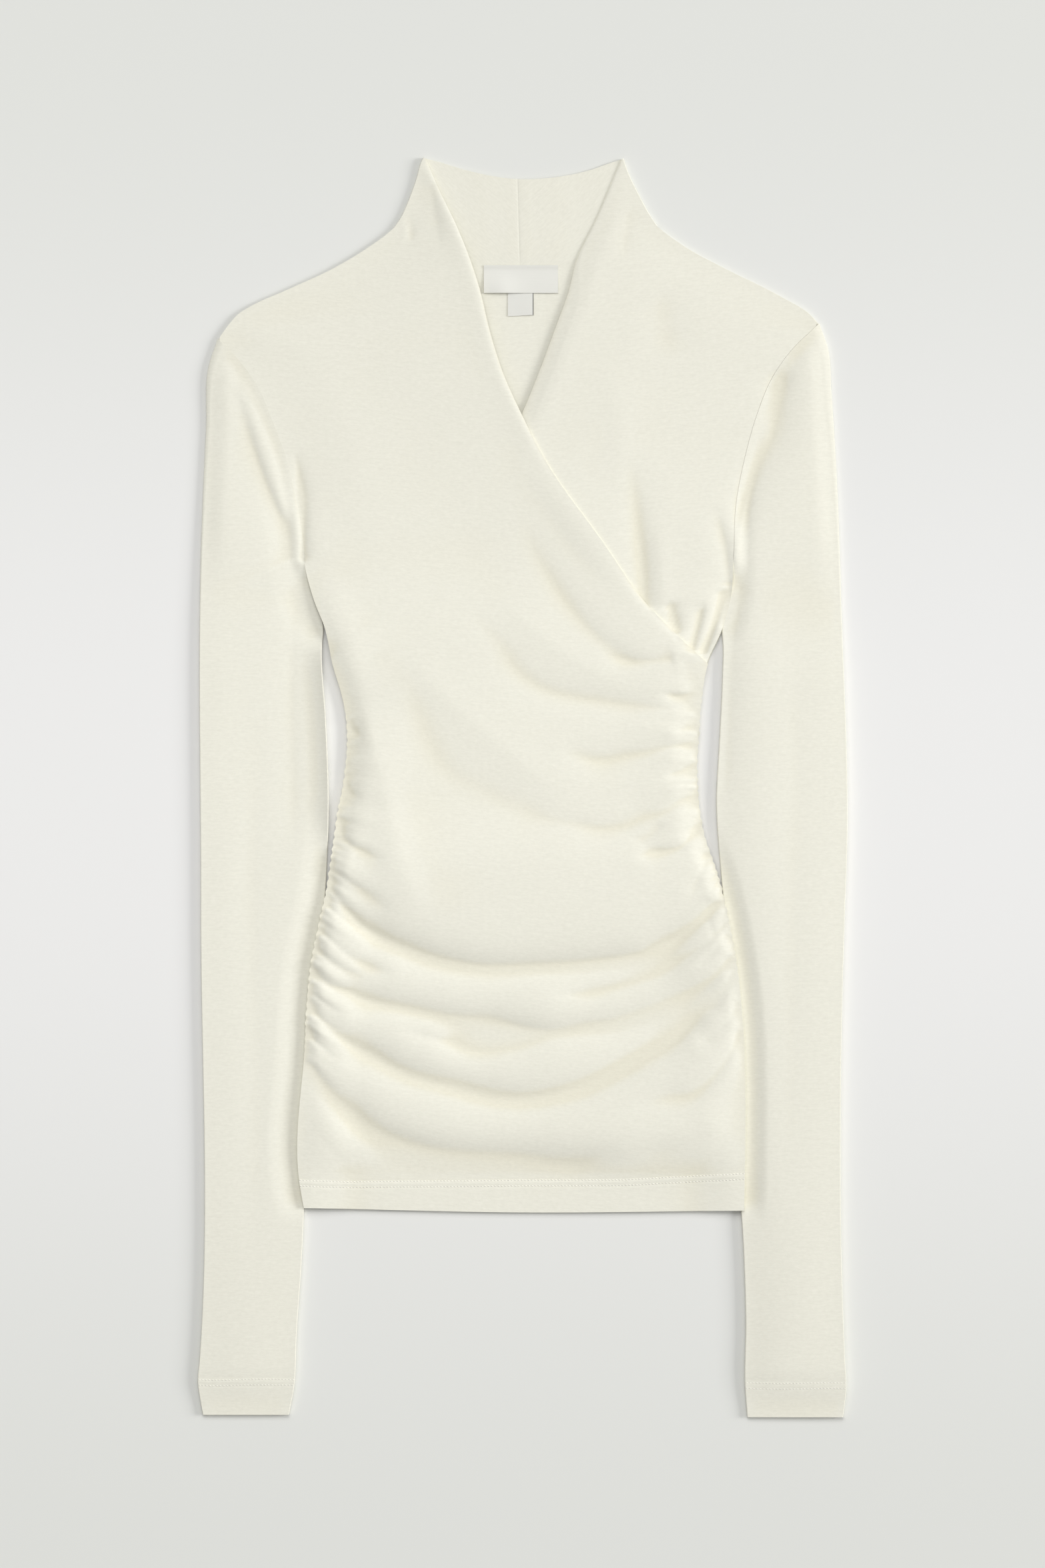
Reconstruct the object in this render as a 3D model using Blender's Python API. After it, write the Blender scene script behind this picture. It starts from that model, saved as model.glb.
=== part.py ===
"""A wrap-effect top, laid flat: a back, two crossed fronts with grown-on collar halves, two sleeves,
a neck label and a size tab.

The tables hold millimetres: x to the wearer's left, y up towards the collar, z up off the surface it
lies on. The origin is under the middle of the box of the garment.
"""

import bpy
import numpy as np

MM = 0.001
WALL = 1.1  # cloth wall
LAY = 1.5  # from the middle of one layer to the middle of the next one on it
SEAM = 0.3  # between two panels sewn edge to edge
LIFT = 3.3  # how far the side seams ride up over the sleeves
PUFF = 1.8  # how far a front stands off the layer under it, away from its seams
GATHER_PITCH = 5.5
GATHER_HEIGHT = 0.8

# outlines: columns x, y
COLLAR_RIGHT = [(-59.4, 377.6), (-60.8, 374.8), (-63.6, 365.2), (-68.8, 350.8), (-73.2, 341.2), (-77.0, 335.6)]
SHOULDER_RIGHT = [(-77.0, 335.6), (-81.6, 331.6), (-95.2, 322.0), (-111.2, 312.4), (-142.0, 298.0), (-163.2, 288.4),
                  (-170.8, 283.6), (-175.2, 278.8), (-182.8, 268.4)]
COLLAR_LEFT = [(60.4, 377.0), (62.8, 370.0), (69.6, 355.6), (77.6, 341.2), (80.8, 336.4)]
SHOULDER_LEFT = [(80.8, 336.4), (86.8, 331.6), (101.2, 322.0), (119.2, 312.4), (157.2, 293.2), (172.8, 283.6),
                 (178.0, 277.6)]
BACK_NECK = [(-77.0, 335.6), (-68.0, 323.0), (-54.0, 315.0), (-31.0, 312.6), (-1.6, 313.0), (31.0, 312.4),
             (56.0, 315.0), (71.0, 323.0), (80.8, 336.4)]
COLLAR_TOP = [(-59.4, 377.6), (-48.8, 374.8), (-33.2, 370.0), (-3.0, 364.8), (12.8, 365.2), (39.6, 370.0),
              (53.2, 374.8), (60.4, 377.0)]
SIDE_RIGHT = [(-182.8, 268.4), (-175.2, 261.2), (-158.8, 239.6), (-150.0, 219.2), (-142.0, 197.6), (-137.2, 177.2),
              (-132.0, 148.0), (-130.8, 134.0), (-125.2, 112.4), (-118.8, 96.0), (-113.6, 72.4), (-108.8, 56.4),
              (-105.6, 40.4), (-106.4, 8.4), (-110.4, -14.0), (-116.4, -55.6), (-127.6, -112.8), (-130.4, -153.6),
              (-134.0, -235.2), (-131.2, -252.0)]
SIDE_LEFT = [(178.0, 277.6), (161.6, 261.6), (150.0, 244.8), (141.6, 224.4), (134.8, 200.8), (128.8, 170.4),
             (127.2, 140.0), (125.6, 113.2), (120.4, 94.8), (111.2, 74.0), (107.6, 56.4), (105.6, 34.0), (104.4, 8.4),
             (107.6, -23.6), (117.6, -55.6), (128.0, -104.8), (132.0, -139.2), (133.4, -176.0), (133.2, -230.4),
             (132.8, -253.6)]
OVER_EDGE = [(-57.2, 375.0), (-51.2, 360.8), (-39.2, 335.6), (-31.2, 315.6), (-26.0, 299.6), (-19.6, 273.2),
             (-11.6, 248.0), (-0.8, 224.0), (13.6, 196.0), (48.4, 146.4), (73.2, 111.2), (92.0, 92.0), (111.2, 74.0)]
UNDER_EDGE = [(58.6, 374.6), (44.4, 340.8), (32.4, 315.6), (26.8, 294.4), (20.4, 277.2), (9.6, 248.0), (-0.8, 222.8),
              (-14.0, 196.0), (-48.0, 146.0), (-73.0, 111.0), (-92.0, 92.0), (-113.6, 74.0)]
HEM = [(-131.2, -252.0), (0.0, -254.8), (132.8, -253.6)]
SLEEVE_RIGHT_OUT = [(-182.8, 268.4), (-187.6, 254.8), (-189.6, 216.4), (-192.4, 152.4), (-192.8, -71.6),
                    (-193.6, -343.6), (-194.6, -356.4), (-193.4, -366.0), (-191.6, -376.0)]
SLEEVE_RIGHT_IN = [(-131.0, 134.0), (-126.6, 112.4), (-121.6, 94.0), (-120.6, 80.0), (-118.0, 40.4), (-116.4, -7.6), (-118.0, -55.6),
                   (-120.4, -88.0), (-124.8, -112.8), (-127.4, -153.6), (-130.6, -235.2), (-132.4, -279.6),
                   (-135.6, -327.6), (-137.2, -359.6), (-140.4, -376.4)]
SLEEVE_LEFT_OUT = [(178.0, 277.6), (182.8, 264.4), (185.2, 235.6), (188.4, 184.4), (191.2, 104.4), (194.4, -39.6),
                   (193.2, -71.6), (193.2, -343.6), (194.0, -359.6), (192.2, -377.6)]
SLEEVE_LEFT_IN = [(126.0, 113.2), (122.4, 94.8), (120.6, 80.0), (120.0, 66.0), (118.0, 24.4), (116.4, -7.6), (119.6, -55.6),
                  (124.8, -104.8), (129.0, -139.2), (130.6, -176.0), (130.6, -240.0), (132.8, -279.6),
                  (134.0, -320.0), (133.6, -359.6), (135.0, -377.6)]

# folds: columns height, width above or right of the line, width below or left of it, share faded in, share faded out,
# points of the line (x, y)
OVER_FOLDS = {
    "main_drape": (-2.6, 7, 10, 0.05, 0.15, [(-107, -68), (-92, -84), (-68, -94), (-44, -102), (-20, -104), (42, -101), (67, -94), (104, -84)]),
    "drape_2_right": (-1.9, 8, 8, 0.1, 0.3, [(-110, -110), (-92, -123), (-68, -128), (-19, -135), (2, -139)]),
    "drape_2_left": (-2.0, 8, 8, 0.3, 0.05, [(-20, -148), (6, -144), (42, -139), (67, -134), (91, -125), (124, -103)]),
    "drape_3": (-2.2, 9, 9, 0.05, 0.25, [(-127, -131), (-114, -142), (-92, -157), (-68, -167), (-19, -179), (0, -182), (18, -178), (42, -169), (67, -154)]),
    "drape_4": (-1.8, 9, 9, 0.05, 0.35, [(-129, -162), (-117, -179), (-100, -194), (-80, -207), (-56, -217), (-7, -223), (16, -223)]),
    "drape_5": (-1.6, 7, 7, 0.3, 0.05, [(94, -188), (106, -176), (118, -160), (126, -147)]),
    "drape_notch": (-1.0, 6, 6, 0.2, 0.3, [(-95, -100), (-80, -106)]),
    "pleat_high": (-1.3, 6, 6, 0.05, 0.5, [(-110, -25), (-94, -36)]),
    "pleat_low": (-1.3, 6, 6, 0.05, 0.5, [(-110, -47), (-94, -64)]),
    "side_ridge": (2.0, 16, 11, 0.15, 0.2, [(-119, 108), (-110, 80), (-100, 39), (-90, -3), (-78, -34), (-63, -69), (-54, -82)]),
    "ridge_1": (1.6, 9, 9, 0.1, 0.25, [(-117, -79), (-92, -96), (-56, -113), (-19, -120), (18, -118), (72, -108)]),
    "ridge_2": (1.7, 9, 9, 0.1, 0.1, [(-127, -120), (-105, -135), (-80, -147), (-44, -154), (-7, -157), (30, -154), (67, -145), (104, -137), (127, -110)]),
    "ridge_3": (1.6, 10, 12, 0.1, 0.3, [(-129, -135), (-117, -160), (-92, -179), (-56, -196), (-19, -206), (18, -208), (54, -199), (82, -190)]),
    "wrap_1": (-1.3, 7, 9, 0.3, 0.2, [(-1, 163), (13, 138), (26, 114), (40, 98), (54, 86), (67, 76)]),
    "wrap_2": (-1.6, 7, 9, 0.3, 0.05, [(-21, 100), (-7, 76), (8, 64), (28, 55), (54, 50), (79, 48), (104, 46)]),
    "wrap_3": (-1.4, 6, 8, 0.4, 0.05, [(36, 18), (54, 17), (79, 22), (104, 26)]),
    "wrap_4": (-1.0, 6, 7, 0.4, 0.05, [(66, -20), (82, -12), (102, -3)]),
    "wrap_5": (-0.9, 5, 5, 0.3, 0.3, [(96, -26), (91, -45)]),
    "wrap_6": (-0.9, 5, 5, 0.3, 0.3, [(111, -44), (104, -60)]),
    "wrap_7": (-1.0, 5, 5, 0.4, 0.05, [(103, -129), (111, -123), (124, -108)]),
    "edge_hollow": (-0.9, 10, 12, 0.3, 0.3, [(-28, 223), (-12, 190), (5, 168), (24, 146)]),
    "belly_slope": (-0.6, 16, 16, 0.4, 0.4, [(-63, 46), (-26, 7)]),
    "armhole_hollow": (-1.0, 7, 7, 0.3, 0.2, [(-130, 205), (-131, 175), (-132, 142)]),
}
UNDER_FOLDS = {
    "drop_1": (-1.5, 8, 8, 0.4, 0.05, [(62, 215), (68, 168), (72, 141), (73, 108)]),
    "drop_2": (-1.2, 6, 6, 0.4, 0.1, [(103, 108), (100, 84)]),
    "drop_ridge": (1.0, 9, 9, 0.4, 0.2, [(84, 158), (86, 104)]),
    "chest_hollow": (-0.7, 12, 12, 0.4, 0.4, [(81, 305), (89, 250)]),
    "armhole_slope": (-0.7, 12, 12, 0.4, 0.2, [(95, 223), (114, 168), (122, 133)]),
    "collar_tuck": (-0.8, 5, 5, 0.3, 0.4, [(64, 352), (59, 330)]),
    "side_fold": (-1.2, 4, 4, 0.2, 0.2, [(120, 117), (108, 80)]),
}
ARM_FOLDS = {
    "right_hollow": (-1.3, 8, 8, 0.2, 0.05, [(-174, 258), (-163, 221), (-155, 193), (-145, 164), (-136, 140)]),
    "right_ridge": (0.9, 7, 7, 0.3, 0.2, [(-165, 250), (-149, 212), (-138, 170)]),
    "left_ridge": (0.9, 7, 7, 0.2, 0.2, [(158, 248), (137, 196), (131, 154), (128, 127)]),
    "left_hollow": (-0.9, 9, 9, 0.3, 0.3, [(162, 248), (155, 194)]),
    "left_pit": (-0.8, 5, 5, 0.3, 0.3, [(130, 124), (128, 104)]),
}


def curve(table, n):
    """n points of a smooth curve through a table's points, evenly spread along it."""
    p = np.array(table, float)
    if len(p) < 3:
        t = np.linspace(0, 1, n)[:, None]
        return p[0] * (1 - t) + p[-1] * t
    run = np.concatenate([[0], np.cumsum(np.hypot(*np.diff(p, axis=0).T))])
    slope = np.gradient(p, run, axis=0)
    at = np.linspace(0, run[-1], n)
    i = np.clip(np.searchsorted(run, at, side="right") - 1, 0, len(p) - 2)
    h = (run[i + 1] - run[i])[:, None]
    t = ((at - run[i]) / h[:, 0])[:, None]
    return ((2 * t**3 - 3 * t**2 + 1) * p[i] + (t**3 - 2 * t**2 + t) * h * slope[i]
            + (3 * t**2 - 2 * t**3) * p[i + 1] + (t**3 - t**2) * h * slope[i + 1])


def x_at(table, y):
    """x of an outline that falls steadily in y."""
    t = np.array(table)
    return np.interp(-np.asarray(y, float), -t[:, 1], t[:, 0])


def y_at(table, x):
    t = np.array(table)
    return np.interp(np.asarray(x, float), t[:, 0], t[:, 1])


def step(a, b, v):
    t = np.clip((v - a) / (b - a), 0, 1)
    return t * t * (3 - 2 * t)


def near(path, x, y):
    """Signed distance to a path (plus on the left hand of its direction) and the share of the path at that point."""
    best = np.full(np.shape(x), 1e9)
    side = np.zeros_like(best)
    share = np.zeros_like(best)
    run = np.concatenate([[0], np.cumsum(np.hypot(*np.diff(path, axis=0).T))])
    for k in range(len(path) - 1):
        (ax, ay), (bx, by) = path[k], path[k + 1]
        dx, dy = bx - ax, by - ay
        long = dx * dx + dy * dy
        t = np.clip(((x - ax) * dx + (y - ay) * dy) / long, 0, 1)
        d = np.hypot(x - ax - t * dx, y - ay - t * dy)
        closer = d < best
        best = np.where(closer, d, best)
        side = np.where(closer, np.sign(dx * (y - ay) - dy * (x - ax)), side)
        share = np.where(closer, (run[k] + t * long**0.5) / run[-1], share)
    return best * side, share


def away(tables, x, y):
    """Distance to the nearest of several outlines."""
    return np.min([np.abs(near(curve(t, 40), x, y)[0]) for t in tables], axis=0)


def folds(table, x, y):
    z = np.zeros(np.shape(x))
    for height, above, below, fade_in, fade_out, line in table.values():
        d, share = near(curve(line, 16), x, y)
        width = np.where(d > 0, above, below)
        z = z + height * np.exp(-((d / width) ** 2)) * step(-0.01, fade_in, share) * step(1.01, 1 - fade_out, share)
    return z


def kept_up(z):
    """z where it is well above nought, easing to nought where it would fall below."""
    return 0.5 * (z + np.sqrt(z * z + 0.16))


def lift(x, y):
    """The body's rise over the inner edges of the sleeves."""
    low = step(-4, -48, y)
    right = 1 - step(1, 17, x - x_at(SLEEVE_RIGHT_IN, y))
    left = 1 - step(1, 17, x_at(SLEEVE_LEFT_IN, y) - x)
    return LIFT * low * np.maximum(right, left)


def puff(d):
    return PUFF * (1 - np.exp(-((d / 14) ** 1.6)))


def back_z(x, y):
    return WALL / 2 + lift(x, y)


def side_gathers(x, y):
    """Small waves that run in from the side seams."""
    wave = 0.5 + 0.5 * np.cos(2 * np.pi * (74 - y) / GATHER_PITCH)
    right = np.exp(-(((x - x_at(SIDE_RIGHT, y)) / 12) ** 2)) * step(80, 60, y) * step(-165, -140, y)
    left = np.exp(-(((x_at(SIDE_LEFT, y) - x) / 12) ** 2)) * step(72, 52, y) * step(-125, -100, y)
    return GATHER_HEIGHT * wave * (right + left)


SEAMS = [SHOULDER_RIGHT, COLLAR_RIGHT, SHOULDER_LEFT, COLLAR_LEFT, SIDE_RIGHT[7:], SIDE_LEFT[7:]]


def under_rise(x, y):
    """How far the under front stands off the back."""
    rise = puff(away(SEAMS, x, y)) + folds(UNDER_FOLDS, x, y) + folds(ARM_FOLDS, x, y)
    edge = near(curve(UNDER_EDGE, 40), x, y)[0]
    edge = np.where(y > 74, np.abs(edge), 40)
    rise = rise * (1 - np.exp(-edge / 5)) + 1.2 * np.exp(-(((edge - 7) / 6) ** 2)) * step(200, 250, y)
    hidden = 1 - step(-40, -6, x - x_at(OVER_EDGE, y))
    hidden = np.where(y < 74, 1, hidden)
    return kept_up(rise) * (1 - hidden)


def over_rise(x, y):
    """How far the over front stands off the layer under it."""
    edge = np.where(y > 74, np.abs(near(curve(OVER_EDGE, 40), x, y)[0]), 40)
    rise = puff(away(SEAMS, x, y)) + folds(OVER_FOLDS, x, y) + folds(ARM_FOLDS, x, y) + side_gathers(x, y)
    rise = rise * (1 - 0.8 * np.exp(-edge / 5)) + 0.9 * np.exp(-(((edge - 7) / 7) ** 2))
    return kept_up(rise) * (0.45 + 0.55 * step(-253, -225, y))


def under_z(x, y):
    return back_z(x, y) + LAY + under_rise(x, y)


def over_z(x, y):
    reach = np.where(y > 74, x - x_at(UNDER_EDGE, y), 99)
    return back_z(x, y) + LAY + LAY * step(-12, -2, reach) + under_rise(x, y) + over_rise(x, y)


def sleeve_z(x, y, out, inner):
    d = away([out, inner], x, y)
    return WALL / 2 + 1.6 + kept_up(puff(d) + folds(ARM_FOLDS, x, y))


def shares(edge, middle):
    """Column places from 0 to 1: close together at both side seams, where the body rides up."""
    return np.concatenate([edge, np.linspace(edge[-1], 1 - edge[-1], middle + 1)[1:-1], 1 - np.array(edge)[::-1]])


EDGE_SHARES = [0, 0.018, 0.04, 0.07, 0.11]
part_collection = bpy.data.collections.new("wrap_top")


def cloth(name, points, faces, colour, out=None, wall=WALL, roughness=0.9):
    """A closed solid: the surface moved out and in by half the wall, and a rim along its free edges. The way out is
    straight up unless `out` gives one for each point."""
    points = np.array(points, float)
    out = np.tile([0.0, 0, 1], (len(points), 1)) if out is None else np.array(out, float)
    thirds = [t for f in faces for t in ([f[:3], (f[0], f[2], f[3])] if len(f) == 4 else
                                         [f[:3]] if len(f) == 3 else [(f[4], f[0], f[1]), (f[4], f[1], f[2]), (f[4], f[2], f[3])])]
    used = sorted({i for t in thirds for i in t})
    new = {old: k for k, old in enumerate(used)}
    thirds = [tuple(new[i] for i in t) for t in thirds]
    points, out = points[used], out[used]
    n = len(points)
    corners = points[np.array(thirds)]
    normals = np.cross(corners[:, 1] - corners[:, 0], corners[:, 2] - corners[:, 0])
    if (normals * out[np.array(thirds)[:, 0]]).sum() < 0:
        thirds = [t[::-1] for t in thirds]
    edges = {(t[k], t[(k + 1) % 3]) for t in thirds for k in range(3)}
    solid = list(thirds) + [tuple(i + n for i in t[::-1]) for t in thirds]
    for a, b in sorted(edges):
        if (b, a) not in edges:
            solid += [(b, a, a + n), (b, a + n, b + n)]
    mesh = bpy.data.meshes.new(name)
    shell = np.concatenate([points + out * wall / 2, points - out * wall / 2]) * MM
    mesh.from_pydata([tuple(p) for p in shell.tolist()], [], solid)
    obj = bpy.data.objects.new(name, mesh)
    part_collection.objects.link(obj)
    material = bpy.data.materials.new(name)
    material.use_nodes = True
    shade = material.node_tree.nodes["Principled BSDF"]
    shade.inputs["Base Color"].default_value = (*colour, 1)
    shade.inputs["Roughness"].default_value = roughness
    mesh.materials.append(material)
    return obj


CREAM = (0.80, 0.785, 0.70)


def grid_faces(base, rows, columns):
    return [(base + r * columns + c, base + r * columns + c + 1, base + (r + 1) * columns + c + 1,
             base + (r + 1) * columns + c) for r in range(rows - 1) for c in range(columns - 1)]


def front(name, outer, edge, opposite, collar, shoulder, end_y, z_of, places, upper, lower, waves, toward):
    """One front: rows from the collar point to the hem, each from its own side (share 0) to its free edge or to the
    far side seam (share 1), then the collar half that folds back behind the neck."""
    places = np.array(places)
    points, faces = [], []
    rows = [(float(y), float(y)) for y in list(upper) + list(lower)]
    rows[0] = (collar[0][1], edge[0][1])
    tip = shoulder[-1][1]
    outline = collar + shoulder[1:] + outer[1:]
    index = {}

    def add(key, x, y, z):
        index[key] = len(points)
        points.append((x, y, z))

    neck = collar[-1][1]
    for r, (y_out, y_edge) in enumerate(rows):
        if y_out >= neck:
            own = float(x_at(collar, y_out)) + toward * 0.9
        elif y_out >= tip:
            own = float(x_at(shoulder, y_out))
        else:
            own = float(x_at(outer, y_out))
        own += toward * SEAM / 2 if y_out < tip else 0
        far = float(x_at(edge, y_edge)) if y_edge > end_y + 1e-6 else float(x_at(opposite, y_edge)) + toward * -0.5
        for c, place in enumerate(places):
            x = own + (far - own) * place
            y = y_out + (y_edge - y_out) * place
            if r == len(rows) - 1:
                y = float(y_at(HEM, x)) + (0.8 if toward < 0 else 0)
            add((r, c), x, y, 0)
    split = set()
    for r in range(len(rows) - 1):
        if not waves or not (waves[1] <= rows[r + 1][0] and rows[r][0] <= waves[0]):
            continue
        split.add(r)
        for c in (0, 1, 2, len(places) - 3, len(places) - 2, len(places) - 1):
            a, b = points[index[r, c]], points[index[r + 1, c]]
            y = (a[1] + b[1]) / 2
            own = float(x_at(outer, y)) + toward * SEAM / 2
            far = float(x_at(opposite, y)) - toward * 0.5
            add((r + 0.5, c), own + (far - own) * places[c], y, 0)
    last = len(places) - 1
    for r in range(len(rows) - 1):
        for c in range(last):
            ring = [index[r, c], index[r, c + 1], index[r + 1, c + 1], index[r + 1, c]]
            here, there = (r + 0.5, c) in index, (r + 0.5, c + 1) in index
            if here and there:
                faces.append((ring[0], ring[1], index[r + 0.5, c + 1], index[r + 0.5, c]))
                faces.append((index[r + 0.5, c], index[r + 0.5, c + 1], ring[2], ring[3]))
            elif here:
                faces.append((*ring, index[r + 0.5, c]))
            elif there:
                faces.append((ring[2], ring[3], ring[0], ring[1], index[r + 0.5, c + 1]))
            else:
                faces.append(tuple(ring) if toward > 0 else (*ring[1:], ring[0]))
    flat = np.array(points)
    flat[:, 2] = z_of(flat[:, 0], flat[:, 1])
    points = [tuple(p) for p in flat]
    out = [(0, 0, 1)] * len(points)

    # the collar half behind the neck, joined to the front along the fold
    turned = [r for r, (y, _) in enumerate(rows) if y >= neck - 1e-6]
    middle = BACK_NECK[4]
    knots = [p[0] for p in (BACK_NECK[1:5] if toward > 0 else BACK_NECK[4:-1][::-1])]
    knots = sorted(knots + [(knots[1] + knots[2]) / 2, (knots[2] + knots[3]) / 2], key=lambda v: v * toward)
    start_x = collar[-1][0] + toward * 0.9
    spread = [0] + [(k - start_x) / (middle[0] - start_x) for k in knots]
    top_middle = (COLLAR_TOP[3][0], COLLAR_TOP[3][1])
    columns = []
    for r in turned:
        y = rows[r][0]
        x0 = float(x_at(collar, y))
        w = (collar[0][1] - y) / (collar[0][1] - neck)
        w = min(max(w, 0), 1)
        top = points[index[r, 0]][2]
        low = WALL / 2
        radius = (top - low) / 2
        chain = [index[r, 0]]
        for turn in (40, 0, -40):
            a = np.radians(turn)
            points.append((x0 + toward * (0.9 - 0.9 * np.cos(a)), y, low + radius + radius * np.sin(a)))
            out.append((-toward * np.cos(a), 0, np.sin(a)))
            chain.append(len(points) - 1)
        for k, s in enumerate(spread):
            start = np.array([x0 + toward * 0.9, y])
            end = np.array(top_middle) * (1 - w) + np.array(middle) * w + np.array([-toward * SEAM / 2, 0])
            place = start * (1 - s) + end * s
            top0, top1 = np.array([collar[0][0] + toward * 0.9, collar[0][1]]), np.array(top_middle)
            x_top = top0[0] * (1 - s) + top1[0] * s
            sag_top = float(y_at(COLLAR_TOP, x_top)) - (top0[1] * (1 - s) + top1[1] * s)
            low0, low1 = np.array([collar[-1][0] + toward * 0.9, neck]), np.array(middle)
            x_low = low0[0] * (1 - s) + low1[0] * s
            sag_low = float(y_at(BACK_NECK, x_low)) - (low0[1] * (1 - s) + low1[1] * s)
            place[1] += sag_top * (1 - w) + sag_low * w + (SEAM * w if k else 0)
            points.append((place[0], place[1], low))
            out.append((0, 0, -1))
            chain.append(len(points) - 1)
        columns.append(chain)
    for a, b in zip(columns, columns[1:]):
        for k in range(len(a) - 1):
            faces.append((a[k], b[k], b[k + 1], a[k + 1]))
    return cloth(name, points, faces, CREAM, out)


def back():
    """Rows from the shoulders and neck down: each joins the knots of the two armholes, then runs level."""
    x0, x1 = SIDE_RIGHT[0][0], SIDE_LEFT[0][0]
    knots = [(x - x0) / (x1 - x0) for x, _ in BACK_NECK]
    knots += [(a + b) / 2 for a, b in zip(knots[2:6], knots[3:6])]
    places = np.array(sorted(EDGE_SHARES + [1 - s for s in EDGE_SHARES] + knots + [0.2, 0.82]))
    whole = np.array(SHOULDER_RIGHT[::-1] + BACK_NECK[1:] + SHOULDER_LEFT[1:])
    rows = [(a[1], b[1]) for a, b in zip(SIDE_RIGHT[:8], SIDE_LEFT[:8])]
    arch_left = [1, 0.8, 0.5, 0.25, 0.1]
    rows += [(y, y) for y in (80, 40, -4, -15, -26, -37, -48, -56, -80, -105, -113, -139, -153.6, -176, -205, -235.2, -252)]
    grid = []
    for r, (y_right, y_left) in enumerate(rows):
        own = float(x_at(SIDE_RIGHT, y_right)) + SEAM / 2
        far = float(x_at(SIDE_LEFT, y_left)) - SEAM / 2
        arch = arch_left[r] if r < len(arch_left) else 0
        for s in places:
            top = float(np.interp(x0 + (x1 - x0) * s, whole[:, 0], whole[:, 1])) - SEAM
            y = y_right * (1 - s) + y_left * s
            y += arch * (top - rows[0][0] * (1 - s) - rows[0][1] * s)
            x = own + (far - own) * s
            if r == 0:
                x = x0 + (x1 - x0) * s + SEAM / 2 * ((s == 0) * 1 - (s == 1) * 1)
            if r == len(rows) - 1:
                y = float(y_at(HEM, x)) + 0.8
            grid.append((x, y))
    grid = np.array(grid)
    z = back_z(grid[:, 0], grid[:, 1])
    points = [(x, y, h) for (x, y), h in zip(grid, z)]
    return cloth("back_panel", points, grid_faces(0, len(rows), len(places)), CREAM)


def sleeve(name, out, inner, arm, toward, cuff):
    """A flattened tube, open at the armhole and at the cuff. Its first ring follows the armhole's knots."""
    radius = 0.8
    arm = np.array(arm[:8], float)
    along = np.diff(arm, axis=0)
    unit = along / np.hypot(*along.T)[:, None]
    arm[0] += unit[0] * 1.2
    arm[-1] -= [toward * 1.1, 0]
    arm += [-toward * SEAM / 2, -SEAM * 0.35]
    split = [3, 4, 5]
    upper = np.array([q for k in range(8) for q in ([arm[k]] + ([(arm[k] + arm[k + 1]) / 2] if k in split else []))])
    square, skew = 80.0, 9
    lows = [60, 36, 8, -20, -48, -72, -104, -140, -190, -240, -275, -305, -330, -344, -356, -366, cuff]

    def ends(y0, y1):
        return (np.array([float(x_at(out, y0)) + toward * radius, y0]),
                np.array([float(x_at(inner, y1)) - toward * radius, y1]))

    first = ends(arm[0][1], arm[-1][1])
    rings = []
    for r in range(skew + len(lows)):
        w = r / skew if r < skew else 1
        y0 = y1 = lows[r - skew] if r >= skew else 0
        if r < skew:
            y0, y1 = arm[0][1] * (1 - w) + square * w, arm[-1][1] * (1 - w) + square * w
        a, b = ends(y0, y1)

        def row(line):
            n = len(line) - 1
            run = np.concatenate([[0], np.cumsum(np.hypot(*np.diff(line, axis=0).T))])
            s = (run / run[-1])[:, None]
            s = s * (1 - w) + np.linspace(0, 1, n + 1)[:, None] * w
            own = (run / run[-1])[:, None]
            return a * (1 - s) + b * s + (line - first[0] * (1 - own) - first[1] * own) * (1 - w) ** 1.5

        top, low = row(upper), row(arm)
        z_top = sleeve_z(top[:, 0], top[:, 1], out, inner)
        z_top[0] = z_top[-1] = WALL / 2 + 2 * radius
        ring = [(x, y, z) for (x, y), z in zip(top, z_top)]
        ways = [(0, 0, 1)] * len(top)
        for turn in (35, -35):
            k = np.radians(turn)
            ring.append((top[-1][0] + toward * radius * np.cos(k), top[-1][1], WALL / 2 + radius + radius * np.sin(k)))
            ways.append((toward * np.cos(k), 0, np.sin(k)))
        ring += [(x, y, WALL / 2) for x, y in low[::-1]]
        ways += [(0, 0, -1)] * len(low)
        for turn in (-35, 35):
            k = np.radians(turn)
            ring.append((top[0][0] - toward * radius * np.cos(k), top[0][1], WALL / 2 + radius + radius * np.sin(k)))
            ways.append((-toward * np.cos(k), 0, np.sin(k)))
        rings.append(ring)
    n = len(rings[0])
    points = [p for ring in rings for p in ring]
    faces = [(r * n + c, r * n + (c + 1) % n, (r + 1) * n + (c + 1) % n, (r + 1) * n + c)
             for r in range(len(rings) - 1) for c in range(n)]
    return cloth(name, points, faces, CREAM, ways * len(rings))


def tags():
    """The bare neck label and the bare size tab under its lower edge."""
    label = []
    for y in (312.6, 308.5, 304.5, 300.5, 296.2):
        for x in np.linspace(-23.2, 21.6, 11):
            over_tab = step(305, 302, y) * step(13.5, 9.5, abs(x + 1))
            label.append((x, y + (x + 1) * -0.012, WALL + 0.35 + 0.4 + 1.3 * over_tab))
    cloth("neck_label", label, grid_faces(0, 5, 11), (0.86, 0.87, 0.86), wall=0.8, roughness=0.45)
    tab = []
    for y in (300.0, 296.0, 291.5, 287.0, 282.6):
        for x in (-8.8, -5.0, -1.0, 3.0, 6.8):
            tab.append((x, y, WALL + 0.3 + 0.35 + 0.5 * step(294, 283, y) * step(-4, 6.8, x)))
    cloth("size_tab", tab, grid_faces(0, 5, 5), (0.84, 0.85, 0.84), wall=0.7, roughness=0.5)


for old in list(bpy.data.objects):
    bpy.data.objects.remove(old)
bpy.context.scene.collection.children.link(part_collection)

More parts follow.
